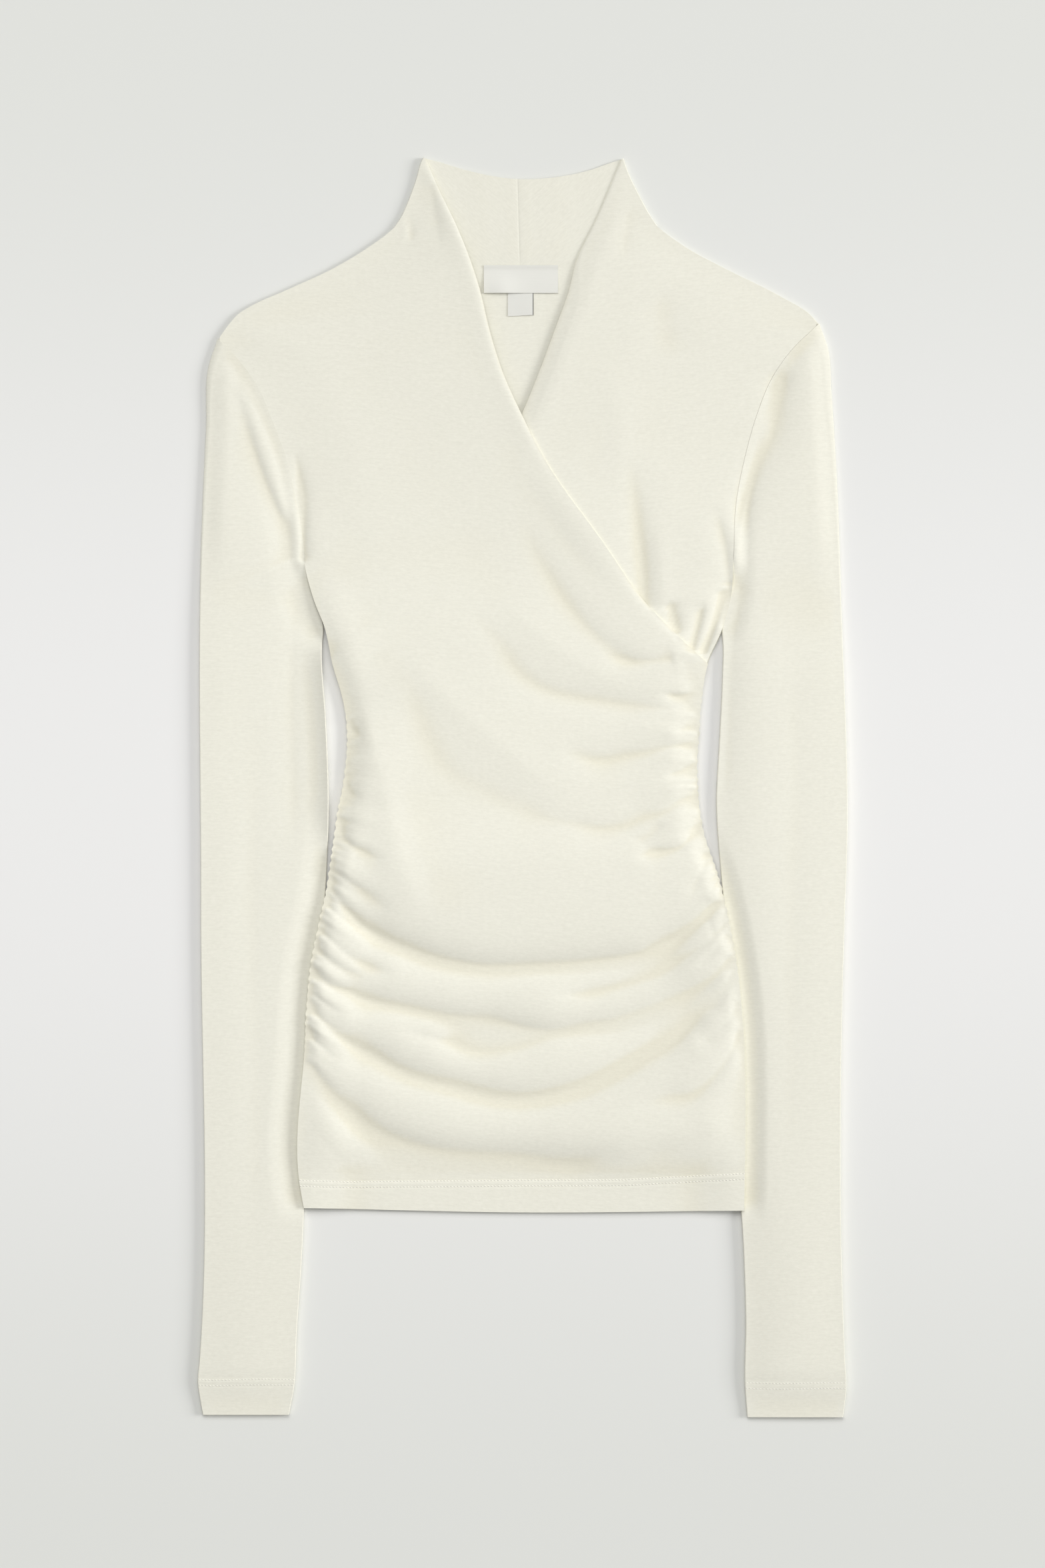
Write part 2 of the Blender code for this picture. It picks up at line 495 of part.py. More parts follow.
wave_rows = [74 - GATHER_PITCH * k for k in range(1, 42)]
over_upper = [377.6, 371, 364, 356, 348, 341.5, 335.6, 330, 323, 315, 306, 298, 290, 284, 278.8, 273.4, 268.4, 261.2, 250.4,
              239.6, 229.4, 219.2, 208.4, 197.6, 187.4, 177.2, 167.5, 157.8, 148, 141, 134, 123, 112.4, 104, 96, 88, 81, 74]
over_lower = wave_rows + [-160, -168, -176, -184, -192, -200, -208, -216, -224, -232, -242, -252]
under_upper = [377.0, 370, 362, 354, 346, 341, 336.4, 330, 323, 315, 306, 298, 290, 284, 277.6, 269.6, 261.6, 253.2, 244.8,
               234.6, 224.4, 212.6, 200.8, 185.6, 170.4, 155, 140, 126.6, 113.2, 104, 94.8, 84, 74]
under_lower = [40, -4, -15, -26, -37, -48, -56, -80, -105, -113, -139, -153.6, -176, -205, -235.2, -252]
back()
front("front_left_under", SIDE_LEFT, UNDER_EDGE, SIDE_RIGHT, COLLAR_LEFT, SHOULDER_LEFT, 74, under_z,
      shares(EDGE_SHARES, 5), under_upper, under_lower, None, -1)
front("front_right_over", SIDE_RIGHT, OVER_EDGE, SIDE_LEFT, COLLAR_RIGHT, SHOULDER_RIGHT, 74, over_z,
      shares(EDGE_SHARES, 8), over_upper, over_lower, (74, -152), 1)
sleeve("sleeve_right", SLEEVE_RIGHT_OUT, SLEEVE_RIGHT_IN, SIDE_RIGHT, 1, -376.2)
sleeve("sleeve_left", SLEEVE_LEFT_OUT, SLEEVE_LEFT_IN, SIDE_LEFT, -1, -377.6)
tags()
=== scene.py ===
# %% [markdown]
# # A wrap-effect top, laid flat
#
# The real top is five cut pieces of fine cream jersey: a back, two fronts that cross, and two sleeves. Each front
# has half of the stand collar grown onto it, so the collar has no seam except the one at the centre back. Flat on a
# table it becomes a stack of thin sheets, and that is how it is modelled: each sheet is a grid that follows the
# outline of its piece, with its height worked out from the folds that cross it.
#
# A cloth simulation could drop the cloth onto the table, but it would choose its own folds. Here the folds are known,
# so each one is a row of a table, and the surface is their sum.

import bpy
import numpy as np
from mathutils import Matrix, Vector


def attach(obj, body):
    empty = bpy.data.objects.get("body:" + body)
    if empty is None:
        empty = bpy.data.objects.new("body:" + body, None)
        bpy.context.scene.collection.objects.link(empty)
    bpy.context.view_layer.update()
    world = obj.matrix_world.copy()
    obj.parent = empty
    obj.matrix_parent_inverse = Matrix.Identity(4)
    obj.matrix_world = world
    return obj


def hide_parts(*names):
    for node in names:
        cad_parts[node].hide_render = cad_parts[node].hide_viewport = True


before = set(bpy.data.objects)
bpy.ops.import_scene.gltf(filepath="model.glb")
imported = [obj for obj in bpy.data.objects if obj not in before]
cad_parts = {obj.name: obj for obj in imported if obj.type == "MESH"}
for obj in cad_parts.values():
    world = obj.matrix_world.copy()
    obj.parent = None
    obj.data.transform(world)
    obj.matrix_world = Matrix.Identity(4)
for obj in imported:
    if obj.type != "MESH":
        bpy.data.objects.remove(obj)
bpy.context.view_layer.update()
MM = 0.001
print("solids in the frame:", sorted(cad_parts))

# %% [markdown]
# ## Outlines
#
# Each outline is a short table of points in millimetres, x to the wearer's left and y up to the collar. A pattern
# cutter works the same way: a few measured points, and a smooth curve drawn through them with a French curve.

# %% Outlines of the cut pieces
COLLAR_RIGHT = [(-59.4, 377.6), (-60.8, 374.8), (-63.6, 365.2), (-68.8, 350.8), (-73.2, 341.2), (-77.0, 335.6)]
SHOULDER_RIGHT = [(-77.0, 335.6), (-81.6, 331.6), (-95.2, 322.0), (-111.2, 312.4), (-142.0, 298.0), (-163.2, 288.4),
                  (-170.8, 283.6), (-175.2, 278.8), (-182.8, 268.4)]
COLLAR_LEFT = [(60.4, 377.0), (62.8, 370.0), (69.6, 355.6), (77.6, 341.2), (80.8, 336.4)]
SHOULDER_LEFT = [(80.8, 336.4), (86.8, 331.6), (101.2, 322.0), (119.2, 312.4), (157.2, 293.2), (172.8, 283.6),
                 (178.0, 277.6)]
BACK_NECK = [(-77.0, 335.6), (-68.0, 323.0), (-54.0, 315.0), (-31.0, 312.6), (-1.6, 313.0), (31.0, 312.4),
             (56.0, 315.0), (71.0, 323.0), (80.8, 336.4)]
COLLAR_TOP = [(-59.4, 377.6), (-48.8, 374.8), (-33.2, 370.0), (-3.0, 364.8), (12.8, 365.2), (39.6, 370.0),
              (53.2, 374.8), (60.4, 377.0)]
SIDE_RIGHT = [(-182.8, 268.4), (-175.2, 261.2), (-158.8, 239.6), (-150.0, 219.2), (-142.0, 197.6), (-137.2, 177.2),
              (-132.0, 148.0), (-130.8, 134.0), (-125.2, 112.4), (-118.8, 96.0), (-113.6, 72.4), (-108.8, 56.4),
              (-105.6, 40.4), (-106.4, 8.4), (-110.4, -14.0), (-116.4, -55.6), (-127.6, -112.8), (-130.4, -153.6),
              (-134.0, -235.2), (-131.2, -252.0)]
SIDE_LEFT = [(178.0, 277.6), (161.6, 261.6), (150.0, 244.8), (141.6, 224.4), (134.8, 200.8), (128.8, 170.4),
             (127.2, 140.0), (125.6, 113.2), (120.4, 94.8), (111.2, 74.0), (107.6, 56.4), (105.6, 34.0), (104.4, 8.4),
             (107.6, -23.6), (117.6, -55.6), (128.0, -104.8), (132.0, -139.2), (133.4, -176.0), (133.2, -230.4),
             (132.8, -253.6)]
OVER_EDGE = [(-57.2, 375.0), (-51.2, 360.8), (-39.2, 335.6), (-31.2, 315.6), (-26.0, 299.6), (-19.6, 273.2),
             (-11.6, 248.0), (-0.8, 224.0), (13.6, 196.0), (48.4, 146.4), (73.2, 111.2), (92.0, 92.0), (111.2, 74.0)]
UNDER_EDGE = [(58.6, 374.6), (44.4, 340.8), (32.4, 315.6), (26.8, 294.4), (20.4, 277.2), (9.6, 248.0), (-0.8, 222.8),
              (-14.0, 196.0), (-48.0, 146.0), (-73.0, 111.0), (-92.0, 92.0), (-113.6, 74.0)]
HEM = [(-131.2, -252.0), (0.0, -254.8), (132.8, -253.6)]
SLEEVE_RIGHT_OUT = [(-182.8, 268.4), (-187.6, 254.8), (-189.6, 216.4), (-192.4, 152.4), (-192.8, -71.6),
                    (-193.6, -343.6), (-194.6, -356.4), (-193.4, -366.0), (-191.6, -376.0)]
SLEEVE_RIGHT_IN = [(-129.0, 134.0), (-124.0, 112.4), (-119.6, 96.0), (-120.4, 84.0), (-118.0, 40.4), (-116.4, -7.6),
                   (-118.0, -55.6), (-120.4, -88.0), (-124.8, -112.8), (-127.4, -153.6), (-130.6, -235.2),
                   (-132.4, -279.6), (-135.6, -327.6), (-137.2, -359.6), (-140.4, -376.4)]
SLEEVE_LEFT_OUT = [(178.0, 277.6), (182.8, 264.4), (185.2, 235.6), (188.4, 184.4), (191.2, 104.4), (194.4, -39.6),
                   (193.2, -71.6), (193.2, -343.6), (194.0, -359.6), (192.2, -377.6)]
SLEEVE_LEFT_IN = [(123.6, 113.2), (119.8, 96.0), (120.4, 84.0), (120.0, 66.0), (118.0, 24.4), (116.4, -7.6),
                  (119.6, -55.6), (124.8, -104.8), (129.0, -139.2), (130.6, -176.0), (130.6, -240.0),
                  (132.8, -279.6), (134.0, -320.0), (133.6, -359.6), (135.0, -377.6)]


def curve(table, n):
    """n points of a smooth curve through a table's points, evenly spread along it."""
    p = np.array(table, float)
    if len(p) < 3:
        t = np.linspace(0, 1, n)[:, None]
        return p[0] * (1 - t) + p[-1] * t
    run = np.concatenate([[0], np.cumsum(np.hypot(*np.diff(p, axis=0).T))])
    slope = np.gradient(p, run, axis=0)
    at = np.linspace(0, run[-1], n)
    i = np.clip(np.searchsorted(run, at, side="right") - 1, 0, len(p) - 2)
    h = (run[i + 1] - run[i])[:, None]
    t = ((at - run[i]) / h[:, 0])[:, None]
    return ((2 * t**3 - 3 * t**2 + 1) * p[i] + (t**3 - 2 * t**2 + t) * h * slope[i]
            + (3 * t**2 - 2 * t**3) * p[i + 1] + (t**3 - t**2) * h * slope[i + 1])


def x_at(table, y):
    """x of an outline that falls steadily in y."""
    c = curve(table, 400)
    return np.interp(-np.asarray(y, float), -c[:, 1], c[:, 0])


def y_at(table, x):
    """y of an outline that runs from right to left of the wearer."""
    c = curve(table, 400)
    return np.interp(np.asarray(x, float), c[:, 0], c[:, 1])


def step(a, b, v):
    """0 before a, 1 after b, smooth between."""
    t = np.clip((v - a) / (b - a), 0, 1)
    return t * t * (3 - 2 * t)


def near(path, x, y):
    """Signed distance to a path, plus on the left hand of its direction, and the share of the path at that point."""
    best = np.full(np.shape(x), 1e9)
    side, share = np.zeros_like(best), np.zeros_like(best)
    run = np.concatenate([[0], np.cumsum(np.hypot(*np.diff(path, axis=0).T))])
    for k in range(len(path) - 1):
        (ax, ay), (bx, by) = path[k], path[k + 1]
        dx, dy = bx - ax, by - ay
        long = dx * dx + dy * dy
        t = np.clip(((x - ax) * dx + (y - ay) * dy) / long, 0, 1)
        d = np.hypot(x - ax - t * dx, y - ay - t * dy)
        closer = d < best
        best = np.where(closer, d, best)
        side = np.where(closer, np.sign(dx * (y - ay) - dy * (x - ax)), side)
        share = np.where(closer, (run[k] + t * long**0.5) / run[-1], share)
    return best * side, share


def away(tables, x, y):
    """Distance to the nearest of several outlines."""
    return np.min([np.abs(near(curve(t, 60), x, y)[0]) for t in tables], axis=0)


print("shoulder to shoulder, mm:", round(SIDE_LEFT[0][0] - SIDE_RIGHT[0][0]))

# %% [markdown]
# ## Folds
#
# On the real top the side seams are gathered, so the cloth of the over front is longer than the seam and hangs in
# swags from one side to the other. Each row below is one crease: how high it stands (minus for a hollow), how wide it
# is on either side, how much of each end fades out, and the line that it follows. A hollow that is narrow on one side
# and wide on the other reads as a fold that leans over.

# %% The creases, one row each
# name: height, width above or right of the line, width below or left of it, roundness, share faded in, share faded
# out, line (x, y)
OVER_FOLDS = {
    "main_drape": (-5.8, 9, 12, 1.4, 0.02, 0.04,
        [(-117, -52.7), (-113, -62.7), (-105, -73.7), (-97, -82.7), (-85, -90.7), (-73, -96.2), (-57, -102.7),
         (-41, -106.7), (-21, -109.2), (0, -108.7), (38, -106.7), (55, -104.7), (70, -102.7), (87, -94.7),
         (102, -84.7), (113, -74.7), (120, -67)]),
    "drape_1_high": (-2.2, 5, 6, 0.8, 0.05, 0.4,
        [(-122, -84), (-113.6, -93), (-105.6, -100), (-97.6, -105), (-85.6, -110), (-73.6, -113)]),
    "drape_1_low": (-2.6, 6, 8, 1.0, 0.3, 0.05,
        [(12, -124.5), (38, -123.5), (56, -119.5), (86, -107.5), (104, -97.5), (118, -86.5), (124, -80)]),
    "drape_2_right": (-5.0, 9, 12, 1.2, 0.02, 0.3,
        [(-126, -108.7), (-113.6, -119.7), (-105.6, -121.7), (-97.6, -126.2), (-85.6, -129.7), (-73.6, -132.2),
         (-57.6, -135.7), (-41.6, -139.7), (-21.6, -143.7), (2, -147.7), (22, -147.7)]),
    "drape_2_left": (-5.2, 9, 12, 1.2, 0.2, 0.03,
        [(-57, -152.7), (-21.6, -151.7), (0, -149.7), (18.4, -147.7), (38.4, -144.7), (54.4, -142.7), (70.4, -138.2),
         (86.4, -132.7), (102, -123.7), (116, -112.7), (127, -101.7)]),
    "drape_2_low": (-1.1, 4, 6, 1.2, 0.3, 0.3, [(-76, -144.7), (-42, -152.7), (-18, -155.7)]),
    "drape_3": (-4.9, 9, 12, 1.4, 0.02, 0.1,
        [(-128, -129.7), (-113.6, -146.7), (-105.6, -152.2), (-97.6, -157.7), (-85.6, -163.2), (-73.6, -170.7),
         (-57.6, -175.7), (-41.6, -179.7), (-21.6, -185.2), (0, -187.2), (18.4, -184.7), (38.4, -178.7),
         (54.4, -170.7), (70.4, -161.7), (86.4, -151.7), (98, -142.7), (112, -128.7), (122, -118), (128, -110)]),
    "drape_4": (-6.0, 10, 12, 1.4, 0.02, 0.35,
        [(-130, -165.7), (-121, -177.7), (-113.6, -187.2), (-105.6, -194.7), (-97.6, -201.7), (-85.6, -209.7),
         (-73.6, -215.7), (-57.6, -221.7), (-41.6, -225.2), (-21.6, -227.7), (0, -229.7), (18.4, -230.2),
         (38.4, -224.7), (62, -215.7)]),
    "drape_5": (-2.2, 6, 9, 1.4, 0.6, 0.05,
        [(55, -192.5), (70, -189.5), (86, -186.5), (102, -184.5), (114, -174.5), (124, -160.5), (131, -144.5)]),
    "drape_6": (-0.8, 6, 8, 2.0, 0.4, 0.2, [(62, -219.5), (80, -218.5), (100, -214.5), (116, -202.5)]),
    "pleat_high": (-2.7, 5, 6, 0.8, 0.1, 0.5,
        [(-112, -18), (-107, -30), (-101.6, -35.5), (-97.6, -37.5), (-89.6, -41.5), (-80, -46)]),
    "pleat_low": (-1.7, 5, 8, 1.0, 0.05, 0.5, [(-116, -42), (-108, -54), (-98, -61), (-86, -70), (-74, -78)]),
    "fan_1": (-1.2, 3, 4, 0.8, 0.05, 0.5, [(-120, -66), (-112, -76), (-104, -82), (-92, -88)]),
    "fan_2": (-1.6, 3, 5, 0.8, 0.05, 0.5, [(-130, -142), (-124, -152), (-116, -160), (-104, -168)]),
    "fan_3": (-1.5, 3, 5, 0.8, 0.05, 0.4, [(-125, -93), (-117, -103), (-104, -111), (-92, -115)]),
    "fan_4": (-1.2, 3, 4, 0.8, 0.05, 0.5, [(-109, 6), (-104, -2), (-96, -8)]),
    "fan_5": (-1.5, 3, 4, 0.7, 0.05, 0.5, [(-128, -118), (-121, -127), (-113, -133), (-103, -137)]),
    "fan_6": (-1.3, 3, 4, 0.7, 0.05, 0.5, [(-106, 38), (-101, 33), (-94, 30)]),
    "side_ridge": (1.5, 10, 26, 4.0, 0.15, 0.15,
        [(-125, 128), (-110, 88), (-101, 62), (-94, 40), (-86, 12), (-78, -24), (-66, -64), (-54, -82)]),
    "belly_1": (0.7, 10, 12, 4.0, 0.3, 0.3, [(-77, 93), (-61, 69), (-37, 45), (-13, 25), (15, 4), (35, -4)]),
    "belly_2": (0.5, 7, 8, 3.0, 0.3, 0.3, [(-20, 117), (4, 97), (24, 81), (45, 69), (70, 57)]),
    "belly_valley": (-1.1, 11, 14, 4.0, 0.3, 0.2,
        [(-72, 78), (-66, 56), (-60, 36), (-45, 9), (-20, -4), (4, -16), (30, -24)]),
    "wrap_1": (-1.4, 6, 11, 1.8, 0.5, 0.3,
        [(-6, 172), (0.5, 156), (9, 138), (20, 120), (30, 106), (40, 93.5), (52, 83.5), (68, 73.5), (85, 66)]),
    "wrap_2": (-2.4, 8, 12, 1.6, 0.7, 0.02,
        [(-50, 116), (-32, 104), (-14, 86), (-1.6, 68), (14.4, 58), (30.4, 54), (46.4, 51.5), (62.4, 49), (74.4, 48),
         (86.4, 47), (107, 47)]),
    "wrap_2_high": (-1.3, 4, 4, 1.0, 0.4, 0.1, [(46, 82), (62, 76), (75, 75.5), (92, 78)]),
    "wrap_2_mid": (-1.8, 2.5, 3, 0.7, 0.4, 0.02, [(82, 57), (94, 54), (108, 56)]),
    "wrap_3": (-2.2, 6, 9, 1.0, 0.4, 0.02,
        [(18, 24), (30, 20), (46, 16), (62, 18.5), (74, 20.5), (86, 23.5), (105, 26)]),
    "wrap_4": (-2.0, 6, 10, 1.4, 0.55, 0.02,
        [(-6, -8), (14, -19), (30, -22), (46, -25), (62, -23), (74, -18), (86, -15), (95, -8), (105, -4)]),
    "wrap_5": (-2.6, 4, 6, 0.8, 0.35, 0.02, [(66, -42), (78, -39), (88, -38), (95, -35.5), (102, -29), (109, -24)]),
    "wrap_6": (-1.1, 4, 5, 1.0, 0.1, 0.4, [(112, -38), (106, -53), (98, -67)]),
    "wrap_7": (-1.9, 3, 5, 0.7, 0.3, 0.02, [(107, -134), (118, -124), (130, -110)]),
    "wrap_8": (-1.4, 5, 6, 1.2, 0.3, 0.02, [(102, -156), (118, -145), (131, -130)]),
    "knot": (-0.8, 3, 4, 1.2, 0.4, 0.3, [(64, -26), (70, -31), (78, -27), (83, -18)]),
    "side_fan_2": (-1.0, 2, 3, 0.7, 0.5, 0.02, [(88, 33), (105, 36)]),
    "side_fan_3": (-1.0, 2, 3, 0.7, 0.4, 0.02, [(84, 6), (94, 9), (104, 13)]),
    "side_fan_4": (-0.8, 4, 4, 1.0, 0.2, 0.2, [(116, -66), (112, -80), (117, -92)]),
    "side_fan_5": (-1.2, 2, 4, 0.7, 0.5, 0.05, [(100, -110), (112, -100), (124, -88)]),
    "armhole_hollow": (-2.2, 3.0, 3, 0.8, 0.5, 0.05, [(-136.5, 206), (-133, 176), (-131.8, 154), (-132, 134)]),
    "collar_crease": (-1.2, 1.3, 1.5, 0.5, 0.2, 0.3, [(-69.2, 343), (-68, 336), (-66, 327)]),
    "collar_pinch": (0.6, 2, 2, 1.0, 0.3, 0.4, [(-71.6, 343), (-70.4, 335), (-68.4, 327)]),
    "collar_hollow": (-0.7, 4, 6, 2.0, 0.2, 0.5, [(-56, 366), (-53, 345), (-49, 318)]),
}
UNDER_FOLDS = {
    "drop_1": (-1.9, 5, 7, 1.4, 0.7, 0.02, [(60, 208), (66, 184), (69.5, 155), (72, 130), (73, 106)]),
    "drop_2": (-2.2, 1.8, 4, 0.5, 0.3, 0.05, [(109, 112), (106, 100), (101, 80)]),
    "drop_3": (-2.0, 3, 4, 0.8, 0.2, 0.05, [(88, 112), (93, 92)]),
    "drop_ridge": (0.7, 7, 7, 3.0, 0.4, 0.1, [(82, 165), (83, 130), (84, 100)]),
    "chest_hollow": (-0.8, 10, 10, 5.0, 0.4, 0.4, [(81, 305), (89, 250)]),
    "chest_ridge": (0.7, 10, 10, 5.0, 0.4, 0.4, [(56, 260), (58, 215), (60, 170)]),
    "armhole_slope": (-1.6, 4, 6, 1.5, 0.5, 0.05, [(113, 172), (118, 157), (122, 138), (124, 120)]),
    "collar_tuck": (-0.4, 4, 4, 1.5, 0.3, 0.4, [(66, 352), (62, 330), (60, 312)]),
    "side_fold": (-3.2, 1.3, 3, 0.3, 0.1, 0.05, [(122, 119), (116, 100), (108, 79)]),
}
ARM_FOLDS = {
    "right_hollow": (-2.1, 5, 15, 1.2, 0.5, 0.02,
        [(-176, 260), (-171.5, 238), (-162.5, 206), (-152.5, 178), (-144, 159), (-134, 138)]),
    "right_ridge": (0.8, 8, 4.5, 1.8, 0.5, 0.12, [(-172, 256), (-167, 235), (-158, 205), (-148, 177), (-139, 158)]),
    "right_dark": (-1.0, 10, 12, 2.0, 0.1, 0.3, [(-134, 126), (-138, 96), (-139, 60), (-138, -10), (-137, -50)]),
    "left_hollow": (-2.6, 9, 4, 1.5, 0.12, 0.3, [(154, 253), (149, 212), (138.5, 190), (129.5, 160), (128, 138)]),
    "left_ridge": (0.4, 4, 4, 2.0, 0.2, 0.2, [(150, 225), (139, 196), (132, 160)]),
    "left_dark": (-0.5, 4, 5, 2.0, 0.2, 0.3, [(130, 112), (125, 80), (123, 30), (121, -20)]),
    "left_pit": (-1.8, 4, 3, 0.8, 0.15, 0.3, [(124.5, 124), (122.5, 108), (120, 92)]),
    "left_soft": (-0.5, 9, 9, 4.0, 0.3, 0.3, [(160, 120), (163, 20), (160, -120), (161, -260)]),
    "right_soft": (-0.5, 9, 9, 4.0, 0.3, 0.3, [(-160, 60), (-163, -60), (-160, -200), (-162, -300)]),
}


def folds(table, x, y, squeeze=1.0):
    """Sum of the creases: each is a V in section, rounded at the bottom, that dies away on both sides.

    `squeeze` is how much of its width a broad crease keeps at each point. Its height shrinks as much, so its sides
    stay as steep."""
    squeeze = squeeze * np.ones(np.shape(x))
    z = np.zeros(np.shape(x))
    for height, above, below, round_by, fade_in, fade_out, line in table.values():
        path = curve(line, 24)
        reach = 6 * max(above, below)
        (x0, y0), (x1, y1) = path.min(axis=0) - reach, path.max(axis=0) + reach
        close = (x > x0) & (x < x1) & (y > y0) & (y < y1)
        d, share = near(path, x[close], y[close])
        kept = 1 - (1 - squeeze[close]) * step(3, 8, (above + below) / 2)
        width, bottom = np.where(d > 0, above, below) * kept, round_by * kept
        shape = kept * np.exp(-(np.sqrt(d * d + bottom**2) - bottom) / width)
        z[close] += height * shape * step(-0.01, fade_in, share) * step(1.01, 1 - fade_out, share)
    return z


print("creases:", len(OVER_FOLDS) + len(UNDER_FOLDS) + len(ARM_FOLDS))

# %% [markdown]
# ## Heights
#
# Every sheet's height is the height of what lies under it plus one layer, plus a little air, plus its creases. The
# air is nought along the seams, where two pieces are sewn together, and grows over the first few centimetres. Along
# both sides the body rides up over the sleeves, so `lift` raises all the body's layers there together.

# %% Heights of the layers
RIGHT, LEFT = -1, 1  # the wearer's two sides, as the sign of x
SIDE = {RIGHT: SIDE_RIGHT, LEFT: SIDE_LEFT}
SIDE_SEAM = {RIGHT: SIDE_RIGHT[7:], LEFT: SIDE_LEFT[7:]}  # from the armpit down
SEAMS = [SHOULDER_RIGHT, COLLAR_RIGHT, SHOULDER_LEFT, COLLAR_LEFT, *SIDE_SEAM.values()]
WALL = 0.9  # the lowest layer, pressed against the table
LAY = 1.0  # from one layer to the next
LIFT = 2.3  # how far the sleeves push up the body that lies on them
PUFF = 1.3  # air under a layer, well away from its seams


def kept_up(z):
    """z where it is well above nought, easing to nought where it would fall below."""
    return 0.5 * (z + np.sqrt(z * z + 0.16))


def ripple(x, y, size, seed):
    """Uneven ground: a sum of slanted waves about `size` across, from -1 to 1, the same each time."""
    rng = np.random.default_rng(seed)
    total = 0
    for _ in range(7):
        turn, phase, stretch = rng.uniform(0, np.pi), rng.uniform(0, 2 * np.pi), rng.uniform(0.7, 1.5)
        total = total + np.sin(2 * np.pi * (x * np.cos(turn) + y * np.sin(turn)) / (size * stretch) + phase)
    return total / 4


def bump(d, wide):
    """1 at nought, and almost gone at twice `wide` on either side."""
    return np.exp(-((d / wide) ** 2))


def puff(d, wide=20, high=PUFF):
    """Air at a distance d from a seam: it grows to `high` over about `wide`."""
    return high * (1 - np.exp(-((d / wide) ** 1.6)))


def on_sleeves(y):
    """0 above the waist, 1 below it, where the sides of the body lie on the sleeves."""
    return step(-4, -48, y)


def lift(x, y):
    """How far the sleeves raise the body: fully at their inner folds, and not at all 34 mm further in."""
    right = 1 - step(1, 34, x - x_at(SLEEVE_RIGHT_IN, y))
    left = 1 - step(1, 34, x_at(SLEEVE_LEFT_IN, y) - x)
    return LIFT * on_sleeves(y) * np.maximum(right, left)


def back_z(x, y):
    return WALL / 2 + lift(x, y)


def layer(y):
    """One layer's thickness. At the hem the stack is pressed flat."""
    return LAY * (1 - 0.5 * step(-214, -236, y))


print("back and both fronts, mm:", WALL + 2 * LAY, "and over the sleeves:", round(WALL + 2 * LAY + LIFT, 1))

# %% [markdown]
# ## Gathers
#
# Each side seam of the over front is gathered: the cloth is longer than the seam and was pushed together on the
# thread. That leaves small waves across the seam, which die away a few millimetres in, and a few wider ones that run
# on into the drapes. Even waves would look machined, so their pitch and their strength wander.

# %% Gathers at the side seams
GATHER_PITCH = 5.2
GATHERED = {RIGHT: (46, -154, 3), LEFT: (62, -114, 5)}  # upper end, lower end, seed


def gather_zone(side, y):
    """1 along the gathered part of a side seam, nought past its ends."""
    top, low, _ = GATHERED[side]
    return step(top + 6, top - 14, y) * step(low - 14, low + 14, y)


def pucker(side, y):
    """Waves along one side seam, 0 to 1, uneven in pitch and in strength, and nought past its ends."""
    seed = GATHERED[side][2]
    flat = np.zeros(np.shape(y))
    wobble = 1.5 * ripple(flat, y, 33, seed)
    wave = 0.5 + 0.5 * np.cos(2 * np.pi * (y + wobble) / GATHER_PITCH)
    strong = 0.7 + 0.3 * ripple(flat, y, 19, seed + 1)
    return wave * strong * gather_zone(side, y)


def side_gathers(x, y):
    """Small waves at both side seams that lean as they run in, a few wider ones that run further, and a low swell."""
    z = 0
    for side, table in SIDE.items():
        d = np.abs(x - x_at(table, y))
        reach = 7 + 4 * ripple(y * 0, y, 24, side + 7)
        lean = y + d * (0.75 * step(40, -90, y) - 0.1)
        wide = 0.5 + 0.5 * np.cos(2 * np.pi * (lean + 5 * ripple(lean * 0, lean, 60, side + 21)) / 15)
        slack, swell = (1 - 0.6 * step(-50, 0, y), 0.8) if side == RIGHT else (0.8, 0.35)
        z = z + 1.1 * slack * pucker(side, lean) * np.exp(-d / reach) * step(-1.5, 2.0, d)
        z = z + 0.9 * slack * wide * gather_zone(side, lean) * bump(d, 22) * step(-1, 4, d)
        z = z + swell * gather_zone(side, y) * bump(d, 45) * step(-1, 12, d)
    return z


for side, (top, low, _) in GATHERED.items():
    print("waves on the wearer's", "right:" if side == RIGHT else "left:", round((top - low) / GATHER_PITCH))

# %% [markdown]
# ## Height of the under front
#
# The under front lies on the back and only shows in the V and beside it. Its free edge is rolled, narrowly at the
# neck and more widely on the chest.

# %% Height of the under front
PIT = {RIGHT: (2.1, 24, 176), LEFT: (1.3, 26, 178)}  # a bulge beside each armpit: height, width, upper end


def bared(x, y, reach):
    """1 where the under front shows, and nought further than `reach` in under the over front."""
    return step(-reach, -3, x - x_at(OVER_EDGE, y)) * step(52, 80, y)


def under_air(x, y):
    return puff(away(SEAMS, x, y)) * bared(x, y, 90)


def pit(side, x, y):
    high, wide, top = PIT[side]
    return high * step(top, top - 38, y) * bump(x - x_at(SIDE[side], y), wide)


